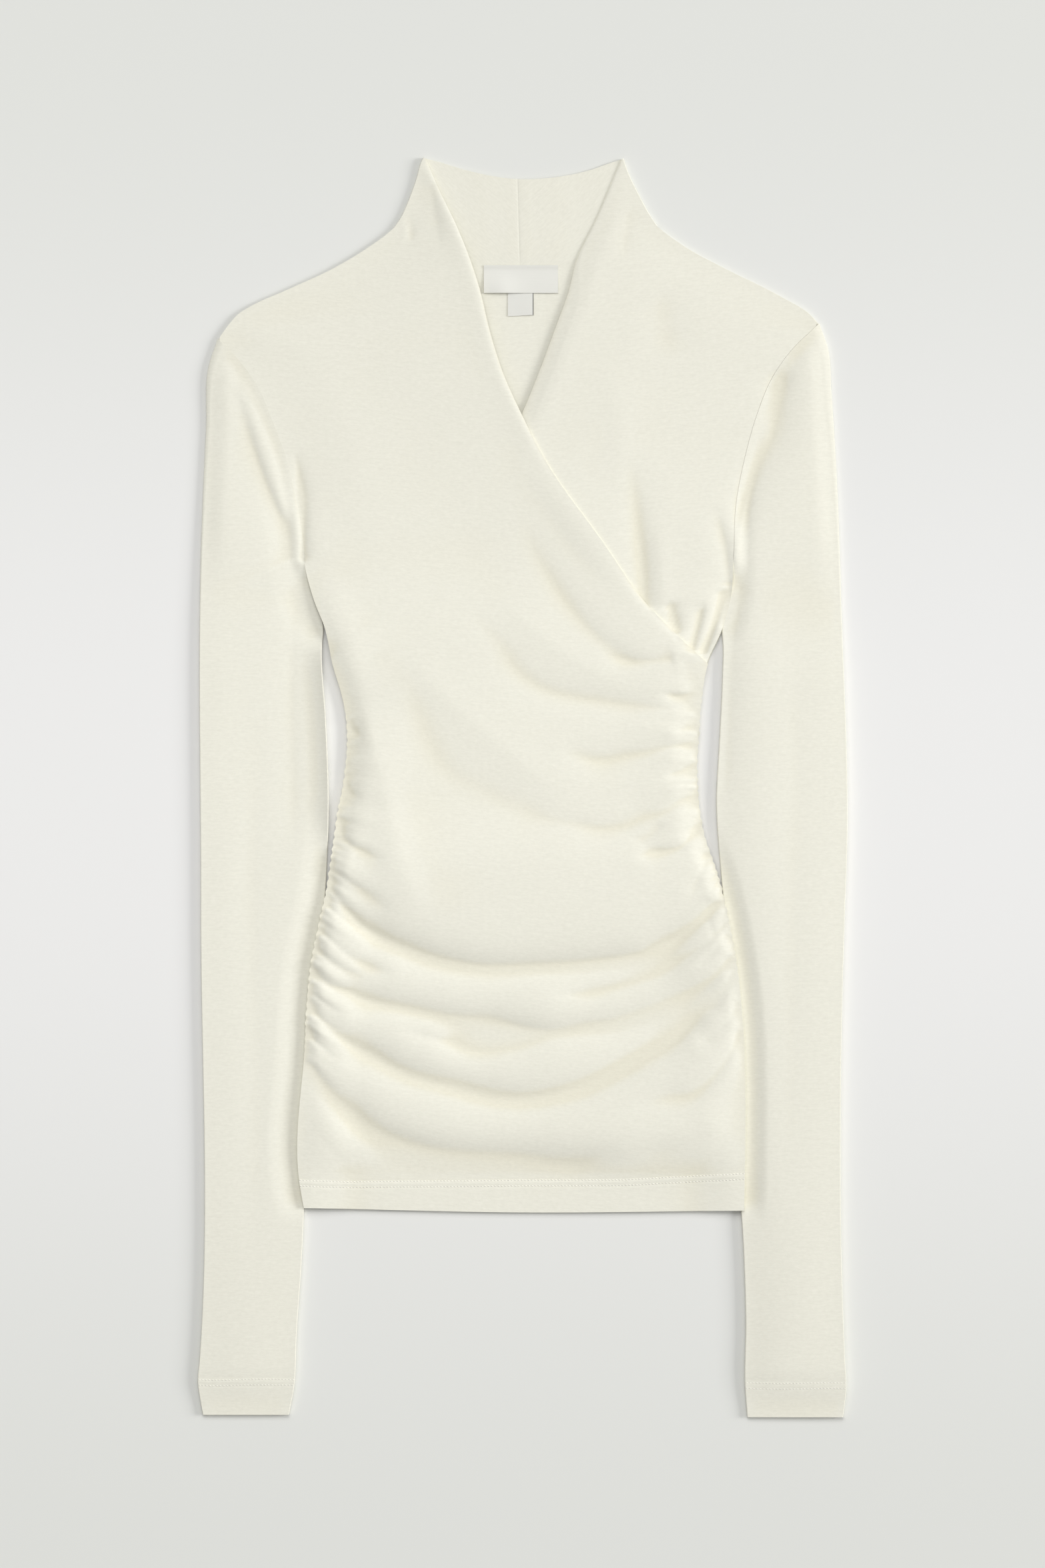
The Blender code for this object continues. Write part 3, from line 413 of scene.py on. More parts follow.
def under_rise(x, y):
    """How far the under front stands off the back."""
    edge = np.where(y > 40, np.abs(near(curve(UNDER_EDGE, 80), x, y)[0]), 60)  # how far in from its free edge
    shown, chest = bared(x, y, 40), step(326, 284, y)
    creases = folds(UNDER_FOLDS, x, y) + folds(ARM_FOLDS, x, y)
    room = 1.5 * step(215, 150, y) * (1 - np.exp(-away([SIDE_SEAM[LEFT]], x, y) / 8))
    rise = (under_air(x, y) + (creases + pit(LEFT, x, y) + room) * shown) * step(0, 14, edge)
    # The rolled edge: a short slope up to the width of the roll, and a long one down behind it.
    roll = 0.8 + 7.0 * chest
    ramp = np.clip((edge + 0.5) / (roll + 0.5), 0, 1) * (0.4 + 0.6 * chest)
    rise = rise + 0.4 * shown * ramp * np.exp(-np.maximum(edge - roll, 0) / 7)
    # The whole chest slopes up from the side seam to the V.
    rise = rise + 1.4 * shown * step(345, 270, y) * np.clip((x_at(SIDE_LEFT, y) - x) / 100, 0, 1)
    return kept_up(rise) - 0.4 * np.exp(-edge / 1.5)


def under_z(x, y):
    return back_z(x, y) + layer(y) + under_rise(x, y)


belly = np.array([0.0]), np.array([0.0])
print("under front at the belly, mm:", under_z(*belly).round(1))

# %% [markdown]
# ## Height of the over front
#
# The over front has a smooth ground of its own, and the creases are cut into that. Wherever this would sink into the
# layers below, `kept_up` lays it on them instead. Its hem is turned up once and pressed, so the cloth comes down flat
# over the last few centimetres.

# %% Height of the over front
CROSSING = 74  # where the over front's free edge meets the left side seam
ROOM = 2.1  # more air under the part of the over front that hangs from the gathers
HEM_STITCH = [(-134, -237.0), (-105, -238.2), (0, -237.2), (60, -237.0), (134, -233.0)]
STITCH_OFF = 1.7  # each of the two rows of stitches is this far from the line between them
HEM_TURN_UP, CUFF_TURN_UP = 0.35, 0.3


def turned_up(above, high):
    """A turned-up edge: one more layer below its two rows of stitches, which sink into the cloth."""
    rows = bump(above - STITCH_OFF, 0.7) + bump(above + STITCH_OFF, 0.7)
    return high * step(2.6, 0.8, above) - 0.15 * rows


def over_z(x, y):
    """The over front: its own smooth ground with creases in it, and never below the layer that it lies on."""
    edge = np.abs(near(curve(OVER_EDGE, 80), x, y)[0])  # how far in from its free edge
    # What it lies on: the back alone, or the under front as well once that has crossed.
    crossed = np.where(y > CROSSING, step(-12, -2, x - x_at(UNDER_EDGE, y)), 1)
    floor = back_z(x, y) + layer(y) * (1 + crossed) + under_rise(x, y)
    # The ground keeps level where the under front ends and between the raised sides of the hips.
    bridged = step(2, 45, away([SHOULDER_RIGHT, SIDE_RIGHT, COLLAR_RIGHT], x, y))
    ground = WALL / 2 + LAY + LAY * np.maximum(crossed, bridged) + under_air(x, y)
    ground = ground + LIFT * on_sleeves(y) * np.maximum(lift(x, y) / LIFT, step(-240, -200, y))
    # Air, wide and soft on the chest and tight beside the gathers.
    from_seam, hips, ungathered = away(SEAMS, x, y), step(60, -20, y), step(-160, -190, y)
    ground = ground + puff(from_seam) * (1 - hips) + puff(from_seam, 9 + 9 * ungathered, 0.9) * hips
    ramp = 9 + 8 * step(-60, -20, y) + 18 * ungathered
    room = step(150, 80, y) * step(-240, -206, y) * step(-3, ramp, from_seam) * (1 - np.exp(-edge / 12))
    ground = ground + ROOM * room
    # The gathered seams squeeze the creases that run into them.
    at_right, at_left = (away([SIDE_SEAM[side]], x, y) for side in (RIGHT, LEFT))
    squeeze = 1 - (0.62 * step(38, 1, at_right) + 0.5 * step(48, 0, at_left)) * step(70, 40, y)
    creases = folds(OVER_FOLDS, x, y, squeeze) + side_gathers(x, y) + 0.12 * ripple(x, y, 60, 8)
    # The free edge is a soft roll: a rise behind it, and a dip at the very edge.
    creases = creases - 1.5 * np.exp(-edge / 2) + 1.6 * np.exp(-edge / 8)
    creases = creases + pit(RIGHT, x, y) * step(60, 96, y)
    rise = (ground - floor + creases) * (0.3 + 0.7 * step(-244, -214, y))
    return floor + kept_up(rise) + turned_up(y - np.interp(x, *np.array(HEM_STITCH).T), HEM_TURN_UP)


print("over front at the belly, mm:", over_z(*belly).round(1))

# %% [markdown]
# ## Height of a sleeve
#
# A sleeve is sewn to the body, so along the armhole its upper layer is blended into the height of the front beside
# it. Further down it is a tube with rounded sides, and the body presses its inner side flat below the waist.

# %% Height of a sleeve
SLEEVE_EDGE = 1.9  # air inside its rounded sides
CUFF_STITCH = {RIGHT: -356.6, LEFT: -358.6}
CUFF_END = {RIGHT: -376.2, LEFT: -377.6}
MEETS_BODY = {RIGHT: (24, 19, 0.04), LEFT: (14, 14, 0.12)}  # width sewn level, width pressed flat, step at the seam


def sleeve_z(x, y, out, inner):
    """The top layer: level with the front along the armhole, and pressed flat where the body lies on the sleeve."""
    side = RIGHT if out[0][0] < 0 else LEFT
    level_width, flat_width, seam_step = MEETS_BODY[side]
    from_side = np.abs(near(curve(SIDE[side], 120), x, y)[0])
    from_in = np.abs(near(curve(inner, 60), x, y)[0])
    from_out = np.abs(near(curve(out, 60), x, y)[0])
    from_fold = np.minimum(from_in, from_out)
    sewn = (1 - step(0, level_width, from_side)) * step(80, 96, y)
    outside = side * (x - x_at(SIDE[side], y))  # how far out from the body's side seam
    pressed = step(flat_width, 0.5, outside) * step(-10, -50, y) * step(-262, -244, y)
    edge = SLEEVE_EDGE * (0.3 + 0.7 * step(190, 60, y))
    full = (edge + puff(from_fold, 12, 0.5)) * (1 - sewn) * (1 - pressed)
    # At the waist nothing lies on the sleeves: the right one curls up at its inner side, and the left one is fuller.
    if side == RIGHT:
        full = full + 3.0 * np.clip(1 - from_in / 12, 0, 1) ** 2 * step(-50, -10, y) * step(96, 70, y)
    else:
        full = full + puff(from_in, 16, 1.5) * step(110, 60, y) * (1 - pressed)
    # The sleeve head is eased into the armhole, so it stands a little fuller there.
    full = full + 1.5 * step(0, 10, from_side) * step(0, 14, from_out) * step(110, 165, y)
    z = full + 0.15 * ripple(x * 2, y, 90, 11) * step(0, 20, from_fold) + folds(ARM_FOLDS, x, y)
    # The cuff lies almost flat.
    z = z * (1 - 0.8 * step(CUFF_END[side] + 30, CUFF_END[side] + 2, y))
    own = WALL / 2 + LAY + kept_up(z) + turned_up(y - CUFF_STITCH[side], CUFF_TURN_UP)
    joined = (1 - step(0, 9, from_side)) * step(122, 137, y)
    at = joined > 0
    if at.any():
        body = (over_z if side == RIGHT else under_z)(x[at], y[at]) + seam_step
        own[at] = own[at] * (1 - joined[at]) + body * joined[at]
    return own


elbow = np.array([-155.0]), np.array([0.0])
print("sleeve at the elbow, mm:", sleeve_z(*elbow, SLEEVE_RIGHT_OUT, SLEEVE_RIGHT_IN).round(1))

# %% [markdown]
# ## Materials
#
# A node material is a small program. Writing it node by node hides the sum behind the wiring, so one small class
# wraps a socket and lets Python's own signs add the Math nodes: `0.5 + 0.1 * noise` reads as what it is. Any other
# node comes from `Shading.node`, which sets the node's options first and then its sockets.


# %% Shader maths
class Value:
    """A socket that can be added to and multiplied."""

    def __init__(self, tree, socket):
        self.tree, self.socket = tree, socket

    def _with(self, other, operation, flip=False):
        node = self.tree.nodes.new("ShaderNodeMath")
        node.operation = operation
        for at, value in enumerate((other, self) if flip else (self, other)):
            if isinstance(value, Value):
                self.tree.links.new(value.socket, node.inputs[at])
            else:
                node.inputs[at].default_value = value
        return Value(self.tree, node.outputs[0])

    def __add__(self, other):
        return self._with(other, "ADD")

    def __radd__(self, other):
        return self._with(other, "ADD", True)

    def __mul__(self, other):
        return self._with(other, "MULTIPLY")

    def __rmul__(self, other):
        return self._with(other, "MULTIPLY", True)


class Shading:
    """A new material and the nodes put in it. A socket is named by its name, or as i0, i1 and so on by its place."""

    def __init__(self, name):
        self.material = bpy.data.materials.new(name)
        self.material.use_nodes = True
        self.tree = self.material.node_tree
        self.surface = self.tree.nodes["Principled BSDF"]

    def node(self, kind, output=0, settings=None, **sockets):
        made = self.tree.nodes.new(kind)
        for key, value in (settings or {}).items():
            setattr(made, key, value)
        for key, value in sockets.items():
            numbered = key[0] == "i" and key[1:].isdigit()
            target = made.inputs[int(key[1:]) if numbered else key.replace("_", " ")]
            if isinstance(value, Value):
                self.tree.links.new(value.socket, target)
            else:
                target.default_value = value
        return Value(self.tree, made.outputs[output])

    def share(self, value, low, high, curve_kind="LINEAR"):
        """0 where value is below low, 1 where it is above high, and in between the share of the way."""
        return self.node("ShaderNodeMapRange", settings={"interpolation_type": curve_kind},
                         Value=value, i1=low, i2=high, i3=0.0, i4=1.0)

    def mix(self, share, first, second, blend="MIX"):
        """The first colour where share is nought and the second where it is 1."""
        first, second = (c if isinstance(c, Value) else (*c, 1) for c in (first, second))
        return self.node("ShaderNodeMix", output=2, settings={"data_type": "RGBA", "blend_type": blend},
                         i0=share, i6=first, i7=second)

    def into(self, name, value):
        if isinstance(value, Value):
            self.tree.links.new(value.socket, self.surface.inputs[name])
        else:
            self.surface.inputs[name].default_value = value


# %% [markdown]
# Fine wool jersey is matt, with a very short haze that brightens it at grazing angles (sheen). Its yarn is uneven,
# so thin threads run across the cloth as short, slightly darker and lighter dashes. The pattern reads the cloth's own
# UV map, in metres of cloth, so that it turns with the grain: level on the fronts, slanted on the collar halves.


# %% Jersey
YARN_SHADE, YARN = (0.805, 0.790, 0.688), (0.860, 0.845, 0.741)
# Painted shade and painted thrown light: deep in a crease the jersey's colour is multiplied by this, darker and
# warmer.
CREASE_SHADE_TINT = (0.968, 0.952, 0.908)  # warm light between two walls of a crease


def jersey(name):
    s = Shading(name)
    cloth_place = s.node("ShaderNodeUVMap", settings={"uv_map": "cloth"})

    def noise(x, y, detail):
        place = s.node("ShaderNodeMapping", Vector=cloth_place, Scale=(x, y, 1))
        return s.node("ShaderNodeTexNoise", Vector=place, Scale=1.0, Detail=detail, Roughness=0.6)

    slub, long_slub = noise(300, 950, 3), noise(90, 600, 2)
    mottle, fuzz = noise(380, 430, 3), noise(1700, 1700, 2)
    dashes = 0.45 * slub + 0.25 * long_slub + 0.3 * mottle
    tone = s.mix(s.share(dashes, 0.38, 0.62), YARN_SHADE, YARN)
    crease_shade_depth = s.node("ShaderNodeAttribute", output=2, settings={"attribute_name": "hollow"})
    # Painted shade: deep in a crease the colour turns darker and warmer.
    s.into("Base Color", s.mix(s.share(crease_shade_depth, 0.0, 0.6), tone, CREASE_SHADE_TINT, "MULTIPLY"))
    s.into("Roughness", 0.86 + 0.1 * slub)
    s.into("Sheen Weight", 0.2)
    s.into("Sheen Roughness", 0.5)
    s.into("Specular IOR Level", 0.2)
    height = 0.55 * dashes + 0.45 * fuzz
    s.into("Normal", s.node("ShaderNodeBump", Height=height, Strength=0.13, Distance=0.0004))
    return s.material


JERSEY = jersey("cream_jersey")
print("jersey, nodes:", len(JERSEY.node_tree.nodes))

# %% [markdown]
# The label and the tab are satin ribbon: smoother than the jersey, with fine ribs across. Along one side the tab has
# painted shadow, a dark strip for the shade inside its curled fold. The sewing thread is twisted, so its tone wavers a
# little. Both are the same idea as the jersey, with other numbers.


# %% Satin and thread
def darker(colour, share):
    return tuple(c * share for c in colour)


def satin(name, base, fold_shadow_x=1.0):
    """Ribbon, white on the face, with painted shadow past the given x, in metres of ribbon: the tab's shaded fold."""
    s = Shading(name)
    place = s.node("ShaderNodeUVMap", settings={"uv_map": "cloth"})
    ribbed = s.node("ShaderNodeMapping", Vector=place, Scale=(60, 2600, 1))
    weave = s.node("ShaderNodeTexNoise", Vector=ribbed, Scale=1.0, Detail=2, Roughness=0.5)
    across = s.node("ShaderNodeSeparateXYZ", Vector=place)
    painted_fold_shadow = s.share(across, fold_shadow_x - 0.0001, fold_shadow_x + 0.0001)
    # Painted shadow: a near-black strip past that x, for the shade inside the tab's curled fold.
    s.into("Base Color", s.mix(painted_fold_shadow, s.mix(weave, darker(base, 0.95), base), (0.16, 0.16, 0.15)))
    s.into("Roughness", 0.42 + 0.15 * weave)
    s.into("Sheen Weight", 0.1)
    s.into("Normal", s.node("ShaderNodeBump", Height=weave, Strength=0.15, Distance=0.0002))
    return s.material


def thread(name, base):
    s = Shading(name)
    place = s.node("ShaderNodeTexCoord", output=3)
    twist = s.node("ShaderNodeTexNoise", Vector=place, Scale=4000.0, Detail=1)
    s.into("Base Color", s.mix(twist, darker(base, 0.93), base))
    s.into("Roughness", 0.55 + 0.15 * twist)
    return s.material


LABEL_SATIN = satin("label_satin", (0.80, 0.795, 0.735))
TAB_SATIN = satin("tab_satin", (0.78, 0.775, 0.72), 0.0061)
THREAD = thread("cream_thread", (0.90, 0.885, 0.81))
print("materials:", sorted(m.name for m in (JERSEY, LABEL_SATIN, TAB_SATIN, THREAD)))

# %% [markdown]
# ## From a surface to a piece of cloth
#
# A piece starts as one surface of points with faces. Real cloth has a wall, so the surface is copied out and in by
# half the wall, and the free edges get a rim. Blender's Solidify modifier does this along the normals, but where
# panels lie in a stack it is safer to move each point in a stated direction: straight up on a flat panel, and
# outwards round a fold. One extra row of points in the rim makes the cut edges round.
#
# Each point also keeps how deep it lies between the walls of a crease. The jersey reads that number to paint shade
# into its colour there, darker and warmer, for the shade in the crease and the light thrown from wall to wall.


# %% How deep each point lies
def hollow_of(points, quads, out, rounds=36):
    """How far each point is below the mean of the cloth round it: more in a crease, and nought on a rise."""
    ends = np.concatenate([quads[:, [k, (k + 1) % 4]] for k in range(4)])
    ends = np.concatenate([ends, ends[:, ::-1]])
    count = np.bincount(ends[:, 0], minlength=len(points))
    mean = points.copy()
    for _ in range(rounds):
        sums = [np.bincount(ends[:, 0], mean[ends[:, 1], k], len(points)) for k in range(3)]
        mean = np.column_stack(sums) / count[:, None]
    return np.clip(((mean - points) * out).sum(axis=1), 0, 1)


# %% The wall of the cloth
def walled(points, quads, out, wall):
    """Outer copy, inner copy and rim of a surface: their points, their faces, the rim's points and the free edges."""
    n = len(points)
    ends = np.concatenate([quads[:, [k, (k + 1) % 4]] for k in range(4)])
    free = ends[~np.isin(ends[:, 0] * n + ends[:, 1], ends[:, 1] * n + ends[:, 0])]
    rim = np.unique(free)
    place = {int(v): 2 * n + k for k, v in enumerate(rim)}
    outwards = np.zeros((n, 3))
    for a, b in free:
        for v in (a, b):
            outwards[v] += np.cross(points[b] - points[a], out[v])
    length = np.linalg.norm(outwards[rim], axis=1, keepdims=True)
    middle = points[rim] + outwards[rim] / np.maximum(length, 1e-9) * wall * 0.04
    shell = np.concatenate([points + out * wall / 2, points - out * wall / 2, middle])
    edge_faces = []
    for a, b in free:
        a_rim, b_rim = place[int(a)], place[int(b)]
        edge_faces += [(b, a, a_rim, b_rim), (b_rim, a_rim, a + n, b + n)]
    faces = np.concatenate([quads, quads[:, ::-1] + n, np.array(edge_faces, int).reshape(-1, 4)])
    return shell, faces, rim, free


def cut_edges(mesh, free, n):
    """Which edges of the mesh lie along a cut edge, on the outer or the inner copy."""
    lines = np.empty(2 * len(mesh.edges), np.int32)
    mesh.edges.foreach_get("vertices", lines)
    lines = np.sort(lines.reshape(-1, 2), axis=1)
    cut = np.sort(np.concatenate([free, free + n]), axis=1)
    return np.isin(lines[:, 0] * 4 * n + lines[:, 1], cut[:, 0] * 4 * n + cut[:, 1])


# %% A piece of cloth
def cloth(name, points, faces, material, out=None, grain=None, wall=LAY):
    """A walled piece of cloth. `out` says which way is out at each point, and `grain` where the point lies on the
    flat cloth. With the wall as thick as one layer, two sheets of a stack just touch."""
    points = np.array(points, float)
    n = len(points)
    out = np.tile([0.0, 0, 1], (n, 1)) if out is None else np.array(out, float)
    grain = points[:, :2] if grain is None else np.array(grain, float)
    quads = np.array(faces, int)
    corners = points[quads]
    normals = np.cross(corners[:, 2] - corners[:, 0], corners[:, 3] - corners[:, 1])
    if (normals * out[quads[:, 0]]).sum() < 0:
        quads = quads[:, ::-1]
    shell, faces, rim, free = walled(points, quads, out, wall)
    mesh = bpy.data.meshes.new(name)
    mesh.from_pydata((shell * MM).tolist(), [], faces.tolist())
    mesh.update()
    uv = mesh.uv_layers.new(name="cloth")
    spots = np.concatenate([grain, grain, grain[rim]]) * MM
    loops = np.empty(len(mesh.loops), np.int32)
    mesh.loops.foreach_get("vertex_index", loops)
    uv.data.foreach_set("uv", spots[loops].astype(np.float32).ravel())
    mesh.polygons.foreach_set("use_smooth", np.arange(len(faces)) < 2 * len(quads))
    mesh.edges.foreach_set("use_edge_sharp", cut_edges(mesh, free, n))
    # Painted shade: how deep each point lies in a crease, which the jersey turns into darker, warmer colour.
    hollow = mesh.attributes.new("hollow", "FLOAT", "POINT")
    crease_shade_depth = hollow_of(points, quads, out)
    hollow.data.foreach_set("value", np.concatenate([crease_shade_depth, crease_shade_depth, crease_shade_depth[rim]]).astype(np.float32))
    mesh.materials.append(material)
    piece = bpy.data.objects.new(name, mesh)
    bpy.context.scene.collection.objects.link(piece)
    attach(piece, "root")
    print(name, "points", len(shell), "faces", len(faces))
    return piece


def grid_faces(rows, columns):
    at = np.arange(rows * columns).reshape(rows, columns)
    return np.stack([at[:-1, :-1], at[:-1, 1:], at[1:, 1:], at[1:, :-1]], axis=-1).reshape(-1, 4).tolist()


# %% [markdown]
# ## The back
#
# One panel, almost all hidden. Its upper rows run from armhole to armhole and slant with the shoulders, and the first
# of them bend up to the shoulder seams and down round the back neck. Further down the rows are level.


# %% Back panel
HEM_LEVEL = -252  # the lowest row of each panel, which is then bent to the hem's line
UNDER_SHORT = 0.45  # how much shorter than the over front the layers below it are


def back_panel():
    across = np.linspace(0, 1, 111)
    (x_right, y_right), (x_left, y_left) = SIDE_RIGHT[0], SIDE_LEFT[0]
    shoulders = np.concatenate([curve(SHOULDER_RIGHT, 200)[::-1], curve(BACK_NECK, 200)[1:],
                                curve(SHOULDER_LEFT, 200)[1:]])
    bend = np.interp(x_right + (x_left - x_right) * across, shoulders[:, 0], shoulders[:, 1]) - 0.05
    bend = bend - (y_right * (1 - across) + y_left * across)
    level, inset = 150, 0.15

    def row(y0, y1):
        x0, x1 = x_at(SIDE_RIGHT, y0) + inset, x_at(SIDE_LEFT, y1) - inset
        return x0 + (x1 - x0) * across

    grid = []
    for share in np.linspace(0, 1, 60):
        y0, y1 = y_right + (level - y_right) * share, y_left + (level - y_left) * share
        grid += list(zip(row(y0, y1), y0 * (1 - across) + y1 * across + bend * (1 - share) ** 2))
    levels = np.concatenate([np.arange(147, -250, -4.0), [HEM_LEVEL]])
    for y in levels:
        x = row(y, y)
        grid += list(zip(x, np.full(len(x), y) if y > HEM_LEVEL else y_at(HEM, x) + UNDER_SHORT))
    grid = np.array(grid)
    points = np.column_stack([grid, back_z(grid[:, 0], grid[:, 1])])
    return cloth("back", points, grid_faces(60 + len(levels), len(across)), JERSEY)


back = back_panel()
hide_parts("back_panel")

# %% [markdown]
# ## The fronts
#
# A front is a grid of rows from the collar point down to the hem. A row starts at the piece's own side and ends at its
# free edge, or at the far side seam once it has crossed. At the collar the same grid goes on round the fold and behind
# the neck: five points turn it over, and the rest run in to the centre-back seam.


# %% The flat rows of a front
def spread(n, crowd=2.2, near_ends=0.06):
    """n places from 0 to 1, closer together at both ends, where the cloth is gathered."""
    s = np.linspace(0, 1, 2001)
    dense = 1 + crowd * (np.exp(-s / near_ends) + np.exp(-(1 - s) / near_ends))
    total = np.concatenate([[0], np.cumsum(dense[1:] + dense[:-1])])
    places = np.interp(np.linspace(0, total[-1], n), total, s)
    places[1] = 0.0012  # the first strip is narrow, so that the turn at the edge stays crisp
    return places


def flat_rows(lines, levels, places, toward, inset, turn):
    """x and y of a front's points.

    `toward` is the direction from its own side to the far one, `inset` how far it stays inside the side seams, and
    `turn` how far inside the collar's outline each row ends, which leaves room for the fold. A front with no inset is
    the one that shows, so the gathers scallop its sides."""
    outer, edge, opposite, collar, shoulder = lines
    neck, tip = collar[-1][1], shoulder[-1][1]
    slant = 2.6 * np.clip((levels - 355) / 22.6, 0, 1)  # the free edge starts lower than the collar point
    far_levels = levels - slant
    scallop = 0 if inset else toward
    own = np.where(levels >= tip, x_at(shoulder, levels), x_at(outer, levels))
    own = np.where(levels >= neck, x_at(collar, levels), own)
    own = own + toward * np.where(levels > neck - 12, turn, 0.15 + inset) - scallop * pucker(-toward, levels)
    far = x_at(opposite, far_levels) - toward * inset + scallop * pucker(toward, far_levels)
    far = np.where(far_levels > CROSSING, x_at(edge, far_levels), far)
    x = own[:, None] + (far - own)[:, None] * places
    y = levels[:, None] - slant[:, None] * places
    last = y_at(HEM, x[-1]) + (UNDER_SHORT if inset else 0)
    y = y + (last - levels[-1]) * np.clip((-236 - levels) / 16, 0, 1)[:, None]
    return np.column_stack([x.ravel(), y.ravel()])


# %% The collar half behind the neck
ROUND_A_FOLD = (60, 30, 0, -30, -60)  # degrees, from the upper layer down to the lower one
BEHIND = 44  # steps from the fold to the centre-back seam
COLLAR_GRAIN = 42  # degrees that the cloth's threads turn behind the neck


def behind_neck(collar, level, share, fold_x, toward):
    """One row from the fold to the centre-back seam: x, y and how far its seams raise it."""
    middle, top_middle = np.array(BACK_NECK[4]), np.array(COLLAR_TOP[3])
    start_top, start_low = np.array(collar[0]) + [toward * 0.9, 0], np.array(collar[-1]) + [toward * 0.2, 0]
    s = 1 - np.linspace(1, 0, BEHIND + 1) ** 1.6  # closer together towards the seam
    end = top_middle * (1 - share) + middle * share + np.array([toward * 0.2, 0])
    x = (fold_x[0] + fold_x[1]) * (1 - s) + end[0] * s
    # The collar's upper edge and the neck seam both sag, and each row takes its share of both.
    x_top, x_low = (a[0] * (1 - s) + b[0] * s for a, b in ((start_top, top_middle), (start_low, middle)))
    sag_top = y_at(COLLAR_TOP, x_top) - (start_top[1] * (1 - s) + top_middle[1] * s)
    sag_low = y_at(BACK_NECK, x_low) - (start_low[1] * (1 - s) + middle[1] * s)
    y = level * (1 - s) + end[1] * s + sag_top * (1 - share) + (sag_low - 0.3) * share * (s > 0)
    # Cloth turned in at the centre-back seam makes it a little thicker on both sides.
    from_seam = (1 - s) * abs(end[0] - fold_x[0])
    allowance = 0.05 * step(0.6, 4.0, from_seam) * step(9.5, 6.5, from_seam)
    beside = 0.22 * (1 - np.exp(-from_seam / 0.5)) * step(313.5, 317, y) * step(40, 20, from_seam)
    return x, y, allowance + beside


# %% [markdown]
# The whole front is then the flat rows, plus for each row at the collar a chain of points: the row's first point, five
# points round the fold, and the row behind the neck. Two chains side by side are joined by a strip of faces.


# %% A whole front
def front(name, lines, z_of, levels, columns, toward, inset, slope):
    collar = lines[3]
    neck, collar_point = collar[-1][1], collar[0][1]
    turn = 0.15 + 0.15 * step(neck, neck + 9, levels)
    flat = flat_rows(lines, levels, spread(columns), toward, inset, turn)
    points = [tuple(p) for p in np.column_stack([flat, z_of(flat[:, 0], flat[:, 1])])]
    out = [(0, 0, 1)] * len(points)
    grain = [(p[0], p[1] + slope * p[0]) for p in flat]
    faces = grid_faces(len(levels), columns)
    turned = np.radians(COLLAR_GRAIN * toward)
    chains = []
    for r in np.where(levels >= neck - 1e-6)[0]:
        level, x_fold, inward = levels[r], x_at(collar, levels[r]), toward * turn[r]
        share = (collar_point - level) / (collar_point - neck)
        first = r * columns
        radius = (points[first][2] - WALL / 2) / 2
        chain = [first]
        for a in np.radians(ROUND_A_FOLD):
            points.append((x_fold + inward * (1 - np.cos(a)), level,
                           WALL / 2 + 0.1 + (radius - 0.05) * (1 + np.sin(a))))
            out.append((-toward * 0.4 * np.cos(a), 0, np.sin(a)))
            grain.append((x_fold, level + slope * x_fold))
            chain.append(len(points) - 1)
        z = WALL / 2 + 0.12 * step(1, 0.8, share) + 0.03 * (toward < 0)
        for x, y, raised in zip(*behind_neck(collar, level, share, (x_fold, inward), toward)):
            points.append((x, y, z + raised))
            out.append((0, 0, -1))
            grain.append((x * np.cos(turned) - y * np.sin(turned), x * np.sin(turned) + y * np.cos(turned)))
            chain.append(len(points) - 1)
        chains.append(chain)
    for a, b in zip(chains, chains[1:]):
        for k in range(len(a) - 1):
            faces.append((a[k], b[k], b[k + 1], a[k + 1]))
    return cloth(name, points, faces, JERSEY, out, grain)


# %% Both fronts
# The rows lie closest together where there is most to show: at the gathers and at the hem's stitches.
collar_levels = np.arange(375, 337, -1.9)
under_levels = np.concatenate([[377.0], collar_levels, [336.4], np.arange(334.4, 70, -1.7),
                               np.arange(66, -235, -5.0), np.linspace(-236, HEM_LEVEL, 5)])
under = front("front_under", (SIDE_LEFT, UNDER_EDGE, SIDE_RIGHT, COLLAR_LEFT, SHOULDER_LEFT), under_z,
              under_levels, columns=104, toward=-1, inset=0.6, slope=-0.06)
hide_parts("front_left_under")
over_levels = np.concatenate([[377.6], collar_levels, [335.6], np.arange(333.6, 84, -2.2), np.arange(82, -170, -1.0),
                              np.arange(-171, -230, -2.0), np.arange(-230.5, -242, -0.6),
                              np.linspace(-243, HEM_LEVEL, 6)])
over = front("front_over", (SIDE_RIGHT, OVER_EDGE, SIDE_LEFT, COLLAR_RIGHT, SHOULDER_RIGHT), over_z,
             over_levels, columns=100, toward=1, inset=0, slope=0.08)
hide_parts("front_right_over")

# %% [markdown]
# ## The sleeves
#
# A sleeve is a tube that has been pressed flat. Its rings run along the top layer, round the inner fold, back along
# the lower layer and round the outer fold. The first ring follows the armhole, and the next ones turn until they lie
# level.


# %% The rounded side of a sleeve
FOLD_RADIUS = 0.18  # how far a sleeve's side bulges past its edge points


def round_side(at, high, sign, turns):
    """Points round one side of the tube, from a point at height `high`, and which way is out at each of them."""
    k = np.radians(turns)
    middle, half = (WALL / 2 + high) / 2, (high - WALL / 2) / 2
    arc = np.column_stack([at[0] + sign * FOLD_RADIUS * np.cos(k), np.full(len(k), at[1]), middle + half * np.sin(k)])
    return arc, np.column_stack([sign * 0.4 * np.cos(k), np.zeros(len(k)), np.sin(k)])


# %% Sleeves
TOP_STEPS, LOW_STEPS = 70, 34  # across the upper and the lower layer
TURNING_RINGS, LEVEL_Y = 46, 78.0  # rings that turn, and where they have come level


